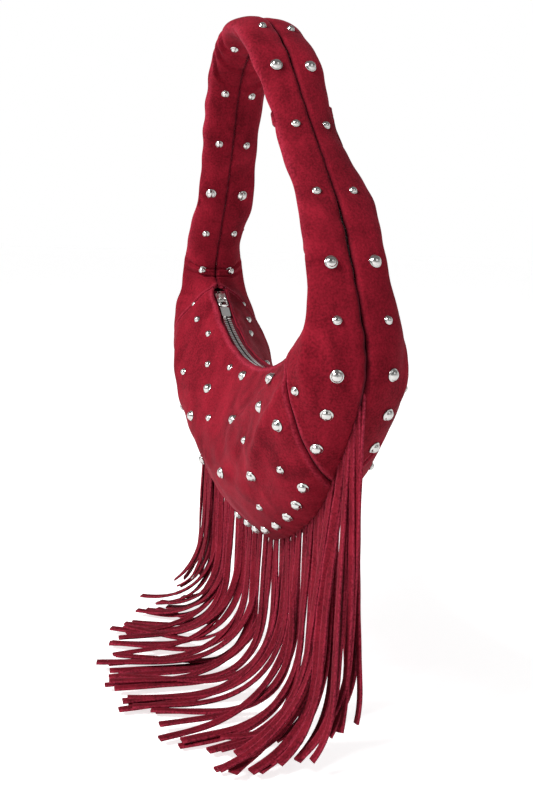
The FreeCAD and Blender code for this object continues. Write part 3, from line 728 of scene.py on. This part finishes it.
@dataclass
class PuffedSkin:
    """Both faces of the ring after the cloth has filled out between its seams."""
    ring: Ring
    stations: int = 296
    columns: int = 27
    pressure: float = 5.0
    slack: float = 0.03
    cap: float = 0.0045
    dent: float = 0.0006
    passes: int = 14
    ease_passes: int = 6
    frames: int = 20
    seam_reach: float = 0.30
    folds: tuple[Fold, ...] = (
        Fold((0.150, -0.246), (0.010, -0.318), 0.0060, 0.0055),
        Fold((0.160, -0.250), (0.075, -0.345), 0.0065, 0.0045),
        Fold((0.120, -0.252), (-0.060, -0.282), 0.0060, 0.0036),
        Fold((0.176, -0.222), (0.176, -0.272), 0.0050, 0.0035),
        Fold((-0.128, -0.222), (-0.060, -0.262), 0.0060, 0.0035),
        Fold((-0.150, -0.235), (-0.110, -0.320), 0.0080, 0.0035),
        Fold((0.080, -0.300), (0.020, -0.385), 0.0090, -0.0025))
    creases: tuple[Crease, ...] = (
        Crease(-1.950, 0.55, 0.05, 0.30, 0.008, 0.0030),
        Crease(-1.915, 0.65, 0.09, 0.28, 0.007, 0.0026),
        Crease(-1.870, 0.70, 0.12, 0.25, 0.009, 0.0024),
        Crease(1.930, 0.85, -0.06, 0.20, 0.008, 0.0022),
        Crease(1.210, 0.75, -0.10, 0.22, 0.012, 0.0026),
        Crease(-1.130, 0.80, 0.14, 0.25, 0.012, 0.0030),
        Crease(-1.050, 0.85, 0.18, 0.25, 0.010, 0.0026),
        Crease(1.060, 0.80, -0.12, 0.20, 0.010, 0.0022))

    def __post_init__(self) -> None:
        crown = self.ring.crown
        self.q = -crown + 2 * crown * np.arange(self.stations) / self.stations
        self.v = spread(np.linspace(0.0, 1.0, self.columns))
        self.shift = {side: np.zeros((self.stations, self.columns, 3)) for side in Side}
        self.fill()

    def fill(self) -> None:
        """Lets a slightly oversized cloth swell under pressure, held along its seams.

        Each face is a closed band of quads whose first and last columns are pinned. Passes of
        averaging take out the finest ripples, and the part of the movement along the outward
        normal is eased under a cap, with a lower one for dents.
        """
        faces, points = [], []
        for side in Side:
            grid = self.ring.skin(side, self.q[:, None], self.v[None, :])
            start = len(points) * grid[..., 0].size
            faces.append(grid_faces(self.stations, self.columns, start=start,
                                    flip=side is Side.FRONT, close_rows=True))
            points.append(grid.reshape(-1, 3))
        thing = make_mesh("cloth_try", np.concatenate(points), np.concatenate(faces))
        held = thing.vertex_groups.new(name="held")
        columns = np.tile(np.arange(self.columns), 2 * self.stations)
        ends = np.flatnonzero((columns == 0) | (columns == self.columns - 1))
        held.add(ends.tolist(), 1.0, "REPLACE")
        cloth = thing.modifiers.new("Cloth", "CLOTH")
        settings = cloth.settings
        for key, value in CLOTH.items():
            setattr(settings, key, value)
        settings.vertex_group_mass = "held"
        settings.use_pressure = True
        settings.uniform_pressure_force = self.pressure
        settings.shrink_min = -self.slack
        settings.effector_weights.gravity = 0
        cloth.point_cache.frame_start = 1
        cloth.point_cache.frame_end = self.frames
        for step in range(1, self.frames + 1):
            bpy.context.scene.frame_set(step)
        result = thing.evaluated_get(bpy.context.evaluated_depsgraph_get()).to_mesh()
        moved = np.empty(len(result.vertices) * 3, np.float32)
        result.vertices.foreach_get("co", moved)
        moved = moved.reshape(-1, 3).astype(float) - np.concatenate(points)
        moved = moved.reshape(2, self.stations, self.columns, 3)
        for side, start, shift in zip(Side, points, moved):
            for _ in range(self.passes):
                beside = np.roll(shift, 1, axis=0) + np.roll(shift, -1, axis=0)
                shift = 0.5 * shift + 0.25 * beside
                inner = 0.5 * shift[:, 1:-1] + 0.25 * (shift[:, 2:] + shift[:, :-2])
                shift[:, 1:-1] = inner
            outward = grid_normals(start.reshape(shift.shape), close_rows=True) * -side.value
            lift = np.sum(shift * outward, axis=-1)
            log.info("%s cloth: %.2f mm out on average", side.word, 1000 * float(lift.mean()))
            held_in = np.where(lift > 0, self.cap * np.tanh(lift / self.cap),
                               self.dent * np.tanh(lift / self.dent))
            self.shift[side] = outward * held_in[..., None]
        bpy.context.scene.frame_set(1)
        bpy.data.objects.remove(thing, do_unlink=True)

    def relief(self, side: Side, q: np.ndarray, v: np.ndarray, base: np.ndarray) -> np.ndarray:
        """Small shape on top of the cloth's, outwards: folds, seam grooves, puckers and dents.

        Args:
            side: the face.
            q: stations.
            v: shares from the outer seam to the inner one.
            base: the points under it.

        Returns:
            A lift for each point.
        """
        x, z = base[..., 0], base[..., 2]
        q = self.ring.wrapped(q)
        seed = -int(side.value)
        open_way = np.sin(math.pi * v) ** 0.5
        lift = 0.0016 * soft_noise(base, 0.10, 3 + seed) * open_way
        lift += 0.0007 * soft_noise(base, 0.035, 8 + seed) * open_way
        for fold in self.folds:
            lift += fold.lift(x, z) * open_way * (np.abs(q) < 1.2)
        for crease in self.creases:
            lift += crease.lift(q, v)
        to_outer, to_inner, aside = self.to_seams(side, q, v, base)
        gather = soft_noise(base, 0.014, 21)
        lift += 0.0005 * gather * (bump(to_outer, 0.008) + bump(to_inner, 0.008))
        shut = smooth_step((np.abs(q) - 0.96) / 0.08)
        lift -= 0.0026 * bump(to_outer, 0.0014) + 0.0014 * bump(to_inner, 0.0012) * shut
        lift -= 0.0015 * bump(aside, 0.0018)
        lift += 0.0005 * bump(aside - 0.005, 0.0025)
        return lift

    def surface(self, side: Side, q: np.ndarray, v: np.ndarray) -> np.ndarray:
        """The finished face on a grid whose stations q and shares v are of one shape.

        Args:
            side: the face.
            q: stations.
            v: shares from the outer seam to the inner one.

        Returns:
            A grid of points.
        """
        base = self.ring.skin(side, q, v)
        crown = self.ring.crown
        around = (self.ring.wrapped(q) + crown) / (2 * crown)
        rows, row_weights = cubic_taps(self.stations, around, True)
        columns, column_weights = cubic_taps(self.columns, unspread(np.clip(v, 0, 1)), False)
        for row in range(4):
            for column in range(4):
                weight = row_weights[row] * column_weights[column]
                base = base + weight[..., None] * self.shift[side][rows[row], columns[column]]
        if base.shape[1] > self.ease_passes:
            base = self.eased(base)
        normal = grid_normals(base) * -side.value
        return base + normal * self.relief(side, q, v, base)[..., None]

    def eased(self, grid: np.ndarray) -> np.ndarray:
        """Rounds a grid a little: inner points move halfway to the middle of their neighbours.

        Args:
            grid: the points.

        Returns:
            A rounded copy.
        """
        grid = grid.copy()
        for _ in range(self.ease_passes):
            grid[:, 1:-1] = 0.5 * grid[:, 1:-1] + 0.25 * (grid[:, 2:] + grid[:, :-2])
            grid[1:-1, 1:-1] = 0.5 * grid[1:-1, 1:-1] + 0.25 * (grid[2:, 1:-1] + grid[:-2, 1:-1])
        return grid

    def to_seams(self, side: Side, q: np.ndarray, v: np.ndarray,
                 base: np.ndarray) -> tuple[np.ndarray, np.ndarray, np.ndarray]:
        """Distances of points from the outer seam, the inner seam and the nearer side seam.

        Args:
            side: the face.
            q: stations.
            v: shares from the outer seam to the inner one.
            base: the points.

        Returns:
            Three distances for each point.
        """
        outer = np.linalg.norm(base - self.ring.skin(side, q, np.zeros_like(v)), axis=-1)
        inner = np.linalg.norm(base - self.ring.skin(side, q, np.ones_like(v)), axis=-1)
        aside = np.abs(np.abs(self.ring.wrapped(q)) - self.ring.seam_station(v)) * self.seam_reach
        return outer, inner, aside

    def spots(self, side: Side, places: list[tuple[float, float]]) -> tuple[np.ndarray, np.ndarray]:
        """Points and outward normals of a face at scattered (q, v) places.

        Args:
            side: the face.
            places: (q, v) of each.

        Returns:
            Points, and their unit normals.
        """
        points, normals = [], []
        for q, v in places:
            grid_q, grid_v = np.meshgrid(q + np.array([-0.01, 0, 0.01]),
                                         v + np.array([-0.02, 0, 0.02]), indexing="ij")
            patch = self.surface(side, grid_q, grid_v)
            points.append(patch[1, 1])
            normals.append(grid_normals(patch)[1, 1] * -side.value)
        return np.array(points), np.array(normals)


@dataclass
class Panels:
    """The four suede panels."""
    skin: PuffedSkin
    finishes: Finishes
    thick: float = 0.0018

    def places(self, part: str, stations: int, columns: int) -> tuple[np.ndarray, np.ndarray]:
        """Grids of q and v for a panel, closer together near the seams.

        A body panel's stations run from one side seam to the other through the bottom, and a
        strap panel's through the crown.

        Args:
            part: body or strap.
            stations: lines of the grid.
            columns: points in a line.

        Returns:
            The two grids.
        """
        v = spread(np.linspace(0, 1, columns))
        seam = self.skin.ring.seam_station(v)[None, :]
        share = np.linspace(-1, 1, stations)[:, None]
        crown = self.skin.ring.crown
        q = share * seam if part == "body" else crown + share * (crown - seam)
        return q, np.broadcast_to(v[None, :], q.shape)

    def panel(self, side: Side, part: str, stations: int, columns: int) -> None:
        """One panel with its turned edges, as a closed shell.

        Args:
            side: the face.
            part: body or strap.
            stations: lines of its grid.
            columns: points in a line.
        """
        grid_q, grid_v = self.places(part, stations, columns)
        outside = self.skin.surface(side, grid_q, grid_v)
        normal = grid_normals(outside) * -side.value
        inside = outside - normal * self.thick
        middle = self.skin.ring.sway(grid_q, grid_v)[..., 1]
        depth = np.maximum(side.value * (inside[..., 1] - middle), 1e-4)
        inside[..., 1] = side.value * depth + middle
        # seam is a mask of painted shade along the seams' grooves; edge is rubbed wear.
        seam, edge = self.marks(side, grid_q, grid_v)
        if side is Side.FRONT:
            outside, inside, seam, edge = (grid[:, ::-1] for grid in (outside, inside, seam, edge))
        name = "%s_%s_panel" % (side.word, part)
        thing = make_mesh(name + "_suede", *closed_wall(outside, inside), {
            "seam": np.tile(seam.ravel(), 2), "edge": np.tile(edge.ravel(), 2)})
        dress(thing, name, self.finishes.suede)
        log.info("%s: %d faces", thing.name, len(thing.data.polygons))

    def marks(self, side: Side, q: np.ndarray, v: np.ndarray) -> tuple[np.ndarray, np.ndarray]:
        """How much each point gets of the painted shade along a seam, and of a rubbed edge beside
        one.

        Args:
            side: the face.
            q: stations.
            v: shares from the outer seam to the inner one.

        Returns:
            The seam's share and the edge's.
        """
        base = self.skin.ring.skin(side, q, v)
        to_outer, to_inner, aside = self.skin.to_seams(side, q, v, base)
        q = self.skin.ring.wrapped(q)
        shut = smooth_step((np.abs(q) - 0.9) / 0.1)
        # Painted shade: the seam mask darkens narrow bands along the outer, side and inner seams,
        # where their grooves lie.
        seam = np.maximum(bump(to_outer, 0.0014), 0.7 * bump(aside, 0.0012))
        seam = np.maximum(seam, bump(to_inner, 0.0012) * (0.3 + 0.5 * shut))
        ridge = self.skin.ring.skin(side, q, np.full_like(v, 0.5))
        fold = np.linalg.norm(base - ridge, axis=-1)
        edge = 0.35 * bump(aside - 0.004, 0.002) + 0.5 * bump(to_inner - 0.002, 0.002) * (1 - shut)
        edge += 0.3 * bump(fold, 0.004) * smooth_step((np.abs(q) - 1.1) / 0.2)
        return seam, edge

    def build(self) -> None:
        """Two body panels and two strap panels."""
        for side in Side:
            self.panel(side, "body", 330, 110)
            self.panel(side, "strap", 760, 56)


@dataclass
class Filling:
    """Lining, pocket, strap padding and stay tape, all out of sight inside the suede."""
    ring: Ring
    finishes: Finishes
    lining_inset: float = 0.0100
    pocket_inset: float = 0.0118
    padding_inset: float = 0.0085

    def cloth(self, side: Side, node: str, span: float, low: float, high: float, inset: float,
              thick: float, top: float) -> None:
        """A hanging sheet inside one face, between two stations and two shares.

        Args:
            side: the face.
            node: the solid that it stands for.
            span: the station at which it ends, on both sides.
            low: its lowest share.
            high: its highest share.
            inset: how far inside the ring's section it hangs.
            thick: its thickness.
            top: how far its top is drawn in.
        """
        q, v = np.linspace(-span, span, 120), np.linspace(low, high, 30)
        grids = []
        for depth in (inset, inset + thick):
            grid = self.ring.skin(side, q[:, None], v[None, :], depth, top + depth - inset)
            fade = np.sin(math.pi * (v - low) / (high - low))[None, :]
            grid[..., 1] -= side.value * np.abs(0.0006 * soft_noise(grid, 0.05, 31) * fade)
            grids.append(grid)
        thing = make_mesh(node + "_cloth", *closed_wall(*grids))
        dress(thing, node, self.finishes.lining)

    @staticmethod
    def area(grid: np.ndarray) -> float:
        """Sum of the areas of a grid's quads, each by the cross product of its diagonals.

        Args:
            grid: the points.

        Returns:
            The area.
        """
        one = grid[1:, 1:] - grid[:-1, :-1]
        other = grid[1:, :-1] - grid[:-1, 1:]
        return float(np.linalg.norm(np.cross(one, other), axis=-1).sum() / 2)

    def pad(self, node: str, low: float, high: float) -> None:
        """One layer of the strap's padding: both faces of the ring drawn in, between two shares.

        Args:
            node: the solid that it stands for.
            low: its outer share.
            high: its inner share.
        """
        q, v = np.linspace(1.14, 2.86, 200), np.linspace(low, high, 16)
        grids = [self.ring.skin(side, q[:, None], v[None, :], self.padding_inset) for side in Side]
        log.info("padding %s", node)
        thing = make_mesh(node + "_foam", *closed_wall(*grids))
        dress(thing, node, self.finishes.foam)

    def stay(self, half: float = 0.0125, thick: float = 0.0012) -> None:
        """The flat tape between the two layers, halfway between the seams.

        Args:
            half: half its width.
            thick: its thickness.
        """
        q = np.linspace(1.14, 2.86, 160)
        outer = self.ring.skin(Side.BACK, q, np.zeros(1))
        inner = self.ring.skin(Side.BACK, q, np.ones(1))
        middle, across = (outer + inner) / 2, inner - outer
        across /= np.linalg.norm(across, axis=1, keepdims=True)
        width = np.stack([np.zeros(9), np.linspace(-half, half, 9), np.zeros(9)], axis=1)
        grids = [middle[:, None] + sign * across[:, None] * thick / 2 + width[None]
                 for sign in (1, -1)]
        thing = make_mesh("strap_stay_webbing", *closed_wall(*grids))
        dress(thing, "strap_stay_tape", self.finishes.webbing)

    def build(self) -> None:
        """Everything inside."""
        for side in Side:
            self.cloth(side, side.word + "_lining", 0.94, 0.0, 1.0, self.lining_inset, 0.0006,
                       0.014)
        self.cloth(Side.BACK, "slip_pocket", 0.34, 0.30, 0.80, self.pocket_inset, 0.0008, 0.0150)
        self.pad("outer_strap_padding", 0.05, 0.41)
        self.pad("inner_strap_padding", 0.59, 0.95)
        self.stay()


class StudSize(Enum):
    """The two sizes of stud, by their flange's diameter in metres."""
    LARGE = 0.0095
    SMALL = 0.0066


@dataclass(frozen=True)
class StudSet:
    """Studs of one panel: where they stand on the front face, mirrored in X where they pair up."""
    part: str
    size: StudSize
    paired: tuple[tuple[float, float], ...]
    single: tuple[tuple[float, float], ...] = ()

    def places(self) -> list[tuple[float, float]]:
        """All (q, v) places of the set."""
        return [(sign * q, v) for sign in (1, -1) for q, v in self.paired] + list(self.single)


@dataclass
class Studs:
    """Domed studs set on the suede, and the discs behind it."""
    skin: PuffedSkin
    finishes: Finishes
    sides: int = 18
    wall: float = 0.0018
    disc_gap: float = 0.0008
    disc_thick: float = 0.0012
    sets: tuple[StudSet, ...] = (
        StudSet("strap", StudSize.LARGE, (
            (0.63, 0.06), (0.72, 0.055), (0.83, 0.05), (1.19, 0.06), (1.79, 0.06), (1.50, 0.92))),
        StudSet("strap", StudSize.SMALL, (
            (1.01, 0.06), (1.43, 0.06), (1.64, 0.05), (1.90, 0.04),
            (1.09, 0.90), (1.34, 0.93), (1.67, 0.94), (1.81, 0.95), (1.95, 0.93)),
            ((-0.86, 0.72), (-0.74, 0.80), (0.74, 0.26))),
        StudSet("body", StudSize.LARGE, (), (
            (-0.06, 0.93), (-0.30, 0.72), (0.42, 0.87), (0.66, 0.62), (-0.31, 0.48), (0.10, 0.71),
            (0.53, 0.60), (0.62, 0.30), (-0.20, 0.30), (0.10, 0.41), (0.33, 0.31),
            (0.50, 0.07), (0.41, 0.07), (0.32, 0.07), (0.24, 0.07), (0.16, 0.07), (0.08, 0.07),
            (0.00, 0.07), (-0.08, 0.07), (-0.17, 0.07), (-0.27, 0.07), (-0.38, 0.07),
            (-0.49, 0.07))),
        StudSet("body", StudSize.SMALL, (), (
            (-0.42, 0.80), (-0.61, 0.88), (-0.26, 0.91), (-0.18, 0.62), (0.33, 0.53), (0.50, 0.19),
            (0.25, 0.17), (-0.47, 0.30), (-0.52, 0.58))))

    def profile(self, diameter: float) -> np.ndarray:
        """(radius, height) down a stud: dome, step, rounded flange and a short foot.

        Args:
            diameter: the flange's.

        Returns:
            A row for each ring of the stud.
        """
        radius = diameter / 2
        dome, rise, flange = 0.84 * radius, 0.62 * radius, 0.1 * diameter
        angle = np.linspace(0.12, math.pi / 2, 5)
        cap = np.stack([dome * np.sin(angle), flange + rise * np.cos(angle)], axis=1)
        rim = np.array([[0.93, 0.95], [1.0, 0.6], [1.0, 0.15], [0.9, -0.6]])
        rim = rim * np.array([radius, flange])
        return np.concatenate([cap, rim])

    def disc(self, diameter: float) -> np.ndarray:
        """(radius, height) down a backing disc that lies behind the suede.

        Args:
            diameter: the stud's.

        Returns:
            A row for each ring of the disc.
        """
        top = -self.wall - self.disc_gap
        radius = 0.36 * diameter
        low = top - self.disc_thick
        return np.array([[0.3 * radius, top], [0.9 * radius, top],
                         [radius, top - self.disc_thick / 3], [radius, low], [0.3 * radius, low]])

    def group(self, side: Side, node: str, profile: np.ndarray,
              places: list[tuple[float, float]]) -> None:
        """One profile turned about the normal at every place, joined in one closed mesh.

        Args:
            side: the face.
            node: the solid that they stand for.
            profile: (radius, height) rows.
            places: (q, v) of each.
        """
        points, normals = self.skin.spots(side, places)
        angle = np.linspace(0, 2 * math.pi, self.sides, endpoint=False)
        across = np.cross(normals, np.array([0.0, 0.0, 1.0]))
        across /= np.linalg.norm(across, axis=1, keepdims=True)
        up = np.cross(across, normals)
        spokes = (across[:, None] * np.cos(angle)[None, :, None]
                  - up[:, None] * np.sin(angle)[None, :, None])
        rings = (points[:, None, None] + spokes[:, None] * profile[None, :, 0, None, None]
                 + normals[:, None, None] * profile[None, :, 1, None, None])
        tops = points + normals * (profile[0, 1] + 0.1 * profile[0, 0])
        bottoms = points + normals * profile[-1, 1]
        rows, sides = len(profile), self.sides
        each = rows * sides + 2
        vertices = np.concatenate([rings.reshape(len(points), -1, 3), tops[:, None],
                                   bottoms[:, None]], axis=1)
        turn = np.arange(sides)
        follow = (turn + 1) % sides
        quads = grid_faces(rows, sides, close_columns=True)
        last = (rows - 1) * sides
        top = np.stack([np.full(sides, each - 2), turn, follow], axis=1)
        bottom = np.stack([np.full(sides, each - 1), last + follow, last + turn], axis=1)
        faces = quads.tolist() + top.tolist() + bottom.tolist()
        every = [[n + index * each for n in face] for index in range(len(points)) for face in faces]
        thing = make_mesh(node + "_caps", vertices, every)
        dress(thing, node, self.finishes.stud)

    def build(self) -> None:
        """Caps and backing discs on every panel, front and back."""
        for side in Side:
            for part in ("strap", "body"):
                behind: list[tuple[float, float]] = []
                for group in (each for each in self.sets if each.part == part):
                    behind += group.places()
                    node = "%s_%s_%s_studs" % (side.word, part, group.size.name.lower())
                    self.group(side, node, self.profile(group.size.value), group.places())
                self.group(side, "%s_%s_stud_backs" % (side.word, part), self.disc(0.009), behind)
        log.info("studs and backing discs done")


def dress_node(node: str, material: bpy.types.Material) -> None:
    """Gives a carried-over node its material.

    Args:
        node: its name.
        material: its finish.
    """
    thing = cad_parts[node]
    thing.data.materials.clear()
    thing.data.materials.append(material)


@dataclass
class Zip:
    """The zip: its tapes and metal pieces keep their shape and get their finishes."""
    finishes: Finishes

    def build(self) -> None:
        """Woven tapes, and metal painted lighter than the studs' nickel against the shade in the
        mouth.
        """
        for side in Side:
            dress_node(side.word + "_zip_tape", self.finishes.tape)
            dress_node(side.word + "_zip_teeth", self.finishes.zip)
        for piece in ("top_stops", "bottom_stop", "slider", "pull_link", "pull_tab"):
            dress_node("zip_" + piece, self.finishes.zip)


@dataclass
class Fringe:
    """Suede strips that hang from the bottom seam, round over and lie on the surface."""
    ring: Ring
    finishes: Finishes
    surface: float
    width: float = 0.0070
    thick: float = 0.0018
    length: float = 0.240
    pitch: float = 0.0072
    reach: float = 0.79
    tuck: float = 0.0065
    steps: int = 44
    seed: int = 7

    def starts(self) -> np.ndarray:
        """Places along the bottom seam, evenly spaced, as (x, z, slope angle, station) rows.

        Returns:
            One row for each strip.
        """
        q = np.linspace(-self.reach, self.reach, 900)
        seam = self.ring.outer_at(q)[:, :2]
        travelled = np.concatenate([[0], np.cumsum(np.linalg.norm(np.diff(seam, axis=0), axis=1))])
        count = int(travelled[-1] / self.pitch) + 1
        at = np.linspace(0, travelled[-1], count)
        x, z = (np.interp(at, travelled, seam[:, axis]) for axis in (0, 1))
        rise, run = np.gradient(seam[:, 1]), np.gradient(seam[:, 0])
        slope = np.interp(at, travelled, np.arctan2(rise, run))
        return np.stack([x, z, slope, np.interp(at, travelled, q)], axis=1)

    def build(self) -> None:
        """Every strip as a closed ribbon along its own path, joined in one piece.

        A strip falls straight, then its angle from the vertical grows by a smooth step until it
        lies flat; how soon is set by the drop under it. Its heading on the surface turns slowly
        across the bag, and small sine waves make neighbours differ.
        """
        random = np.random.default_rng(self.seed)
        begin = self.starts()
        count = len(begin)
        x, z, slope, _ = begin.T
        x, z = x - self.tuck * np.sin(slope), z + self.tuck * np.cos(slope)
        share = np.linspace(0, 1, self.steps)
        travel = share * self.length
        side = x / self.ring.half_width
        bend = 0.105 + 0.075 * random.random(count)
        middles = (np.arange(60) + 0.5) / 60
        fall = float(np.cos(math.pi / 2 * smooth_step(middles)).mean())
        layer = random.integers(0, 3, count)
        floor = self.surface + self.thick * (0.55 + 1.05 * layer)
        begin_bend = np.maximum(z - 0.003 - floor - bend * fall, 0.0)
        tilt = math.pi / 2 * smooth_step((travel[None] - begin_bend[:, None]) / bend[:, None])
        heading = np.radians(-86 - 44 * smooth_step((0.10 - side) / 1.0) + 18 * smooth_step(
            (side - 0.2) / 0.6) + random.normal(0, 9, count))
        turn = np.radians(random.normal(-6, 14, count))
        free = smooth_step((travel[None] - begin_bend[:, None] * 0.6) / 0.12)
        way = heading[:, None] + turn[:, None] * free
        drift = np.radians(random.normal(0, 2.6, count))[:, None] + np.radians(
            random.normal(0, 5.0, count))[:, None] * np.sin(math.pi * share * 1.7)[None]
        lean = random.normal(-0.01, 0.035, count) + np.where(side > 0.9, 0.05, 0.0)
        step = np.stack([np.sin(tilt) * np.cos(way) + np.cos(tilt) * np.sin(drift),
                         np.sin(tilt) * np.sin(way) + lean[:, None] * np.cos(tilt),
                         -np.cos(tilt) * np.cos(drift)], axis=-1)
        step /= np.linalg.norm(step, axis=-1, keepdims=True)
        path = np.concatenate([np.zeros((count, 1, 3)), np.cumsum(
            (step[:, 1:] + step[:, :-1]) / 2 * (self.length / (self.steps - 1)), axis=1)], axis=1)
        row = np.where(np.arange(count) % 2, -0.0012, 0.0012)
        lean_y = self.ring.sway(begin[:, 3], np.zeros(count))[:, 1]
        path += np.stack([x, row + lean_y, z - 0.001], axis=1)[:, None]
        path[..., 2] = np.maximum(path[..., 2], floor[:, None])
        across = np.cross(step, np.array([0.0, -1.0, 0.0]))
        flat = np.cross(np.array([0.0, 0.0, 1.0]), step)
        blend = smooth_step((tilt - 0.15) / 0.9)[..., None]
        flat *= np.sign(np.sum(flat * np.array([1.0, 0.2, 0.0]), axis=-1, keepdims=True))
        across *= np.sign(across[..., :1])
        across = across * (1 - blend) + flat * blend
        across /= np.linalg.norm(across, axis=-1, keepdims=True)
        face = np.cross(step, across)
        twist = np.radians(random.normal(0, 22, count))[:, None] * np.sin(
            math.pi * np.clip(share * 1.15, 0, 1))[None]
        twist = twist * (1 - blend[..., 0])
        turned = across * np.cos(twist)[..., None] + face * np.sin(twist)[..., None]
        face = np.cross(step, turned)
        half, deep = self.width / 2, self.thick / 2
        widths = random.uniform(0.82, 1.12, count)[:, None]
        corners = np.array([[-1, -1], [-0.5, -1.04], [0.5, -1.04], [1, -1], [1, 1], [0.5, 1.04],
                            [-0.5, 1.04], [-1, 1]]) * np.array([half, deep])
        wobble = widths * (1 + 0.05 * np.sin(share * 40 + random.uniform(0, 6, count)[:, None]))
        wide = corners[None, None, :, :1]
        rings = (path[:, :, None] + turned[:, :, None] * wide * wobble[..., None, None]
                 + face[:, :, None] * corners[None, None, :, 1:])
        self.finish(rings)

    def finish(self, rings: np.ndarray) -> None:
        """Joins the strips' rings of eight points into closed ribbons in one mesh.

        Args:
            rings: strip, step and corner by number, with a point for each.
        """
        count, steps, sides = rings.shape[:3]
        each = steps * sides
        walls = grid_faces(steps, sides, close_columns=True)
        caps = np.array([[0, 1, 6, 7], [1, 2, 5, 6], [2, 3, 4, 5]])
        last = caps[:, ::-1] + (steps - 1) * sides
        one = np.concatenate([walls, caps, last])
        faces = (one[None] + (np.arange(count) * each)[:, None, None]).reshape(-1, 4)
        rim = np.tile(np.array([1, 0.15, 0.15, 1, 1, 0.15, 0.15, 1]), count * steps)
        thing = make_mesh("fringe_strips", rings, faces, {"edge": rim * 0.55,
                                                          "seam": np.zeros(count * each)})
        # The strips get the darker copy of the suede, which is painted shade.
        dress(thing, "fringe", self.finishes.strip)
        log.info("fringe: %d strips", count)


@dataclass
class Studio:
    """A pale floor, soft light and the camera."""
    floor: float
    place: tuple[float, float, float] = (0.76165, -0.27331, -0.15904)
    azimuth: float = 70.01
    pitch: float = -9.32
    roll: float = 1.58
    lens: float = 64.17

    def camera(self) -> None:
        """A camera whose axes come from its heading, its tilt and its roll."""
        heading, pitch, roll = (math.radians(x) for x in (self.azimuth, self.pitch, self.roll))
        ahead = Vector((-math.sin(heading) * math.cos(pitch), math.cos(heading) * math.cos(pitch),
                        math.sin(pitch)))
        level = Vector((math.cos(heading), math.sin(heading), 0.0))
        raised = level.cross(ahead)
        right = level * math.cos(roll) + raised * math.sin(roll)
        up = raised * math.cos(roll) - level * math.sin(roll)
        data = bpy.data.cameras.new("camera")
        data.sensor_fit, data.sensor_width, data.lens = "HORIZONTAL", 36.0, self.lens
        data.clip_start, data.clip_end = 0.01, 50.0
        thing = bpy.data.objects.new("camera", data)
        axes = Matrix((right, up, -ahead)).transposed().to_4x4()
        thing.matrix_world = Matrix.Translation(Vector(self.place)) @ axes
        bpy.context.scene.collection.objects.link(thing)
        bpy.context.scene.camera = thing

    def light(self, name: str, place: tuple[float, float, float], size: float,
              power: float) -> None:
        """A square soft light that faces the bag.

        Args:
            name: its name.
            place: where it stands.
            size: its side.
            power: in watts.
        """
        data = bpy.data.lights.new(name, "AREA")
        data.size, data.energy = size, power
        thing = bpy.data.objects.new(name, data)
        aim = Vector((0.0, 0.0, -0.28)) - Vector(place)
        turn = aim.to_track_quat("-Z", "Y").to_matrix().to_4x4()
        thing.matrix_world = Matrix.Translation(Vector(place)) @ turn
        bpy.context.scene.collection.objects.link(thing)

    def sky(self) -> None:
        """A world that is white round the horizon, and dimmer overhead and towards +X."""
        world = bpy.data.worlds.new("world")
        world.use_nodes = True
        nodes = world.node_tree.nodes
        place = nodes.new("ShaderNodeTexCoord")
        split = nodes.new("ShaderNodeSeparateXYZ")
        links = world.node_tree.links
        links.new(place.outputs["Generated"], split.inputs[0])
        product = nodes.new("ShaderNodeMath")
        product.operation = "MULTIPLY"
        ramps = (("Z", (0.25, 0.5, 1.0, 0.3)), ("X", (0.1, 0.7, 1.0, 0.5)))
        for number, (axis, ramp) in enumerate(ramps):
            fade = nodes.new("ShaderNodeMapRange")
            for socket, value in zip(("From Min", "From Max", "To Min", "To Max"), ramp):
                fade.inputs[socket].default_value = value
            links.new(split.outputs[axis], fade.inputs["Value"])
            links.new(fade.outputs["Result"], product.inputs[number])
        links.new(product.outputs[0], nodes["Background"].inputs["Color"])
        bpy.context.scene.world = world

    def build(self) -> None:
        """Floor, world, lights and camera."""
        reach = 40.0
        corners = np.array([[-reach, -reach, self.floor], [reach, -reach, self.floor],
                            [reach, reach, self.floor], [-reach, reach, self.floor]])
        ground = make_mesh("floor", corners, np.array([[0, 1, 2, 3]]), smooth=False)
        paint = Nodes("floor_paint")
        grain = paint.noise(4.0)
        paint.link(paint.mix(grain, (0.70, 0.70, 0.70, 1), (0.73, 0.73, 0.73, 1)), "Base Color")
        paint.shader.inputs["Roughness"].default_value = 0.9
        paint.shader.inputs["Emission Color"].default_value = (1.0, 1.0, 1.0, 1.0)
        paint.shader.inputs["Emission Strength"].default_value = 0.72
        ground.data.materials.append(paint.material)
        self.sky()
        self.light("key", (0.30, -1.80, 1.25), 0.8, 84.0)
        self.light("fill", (1.5, 0.5, 0.8), 1.0, 4.0)
        self.camera()
        bpy.context.scene.view_settings.view_transform = "Standard"


def main() -> None:
    """Builds the bag around the frame."""
    logging.basicConfig(level=logging.INFO, format="%(name)s: %(message)s")
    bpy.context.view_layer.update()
    ring = Ring()
    finishes = Finishes()
    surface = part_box("fringe")[0].z
    Studio(floor=surface - 0.0005).build()
    skin = PuffedSkin(ring)
    Panels(skin, finishes).build()
    Filling(ring, finishes).build()
    Studs(skin, finishes).build()
    Zip(finishes).build()
    Fringe(ring, finishes, surface).build()


if __name__ == "__main__":
    main()
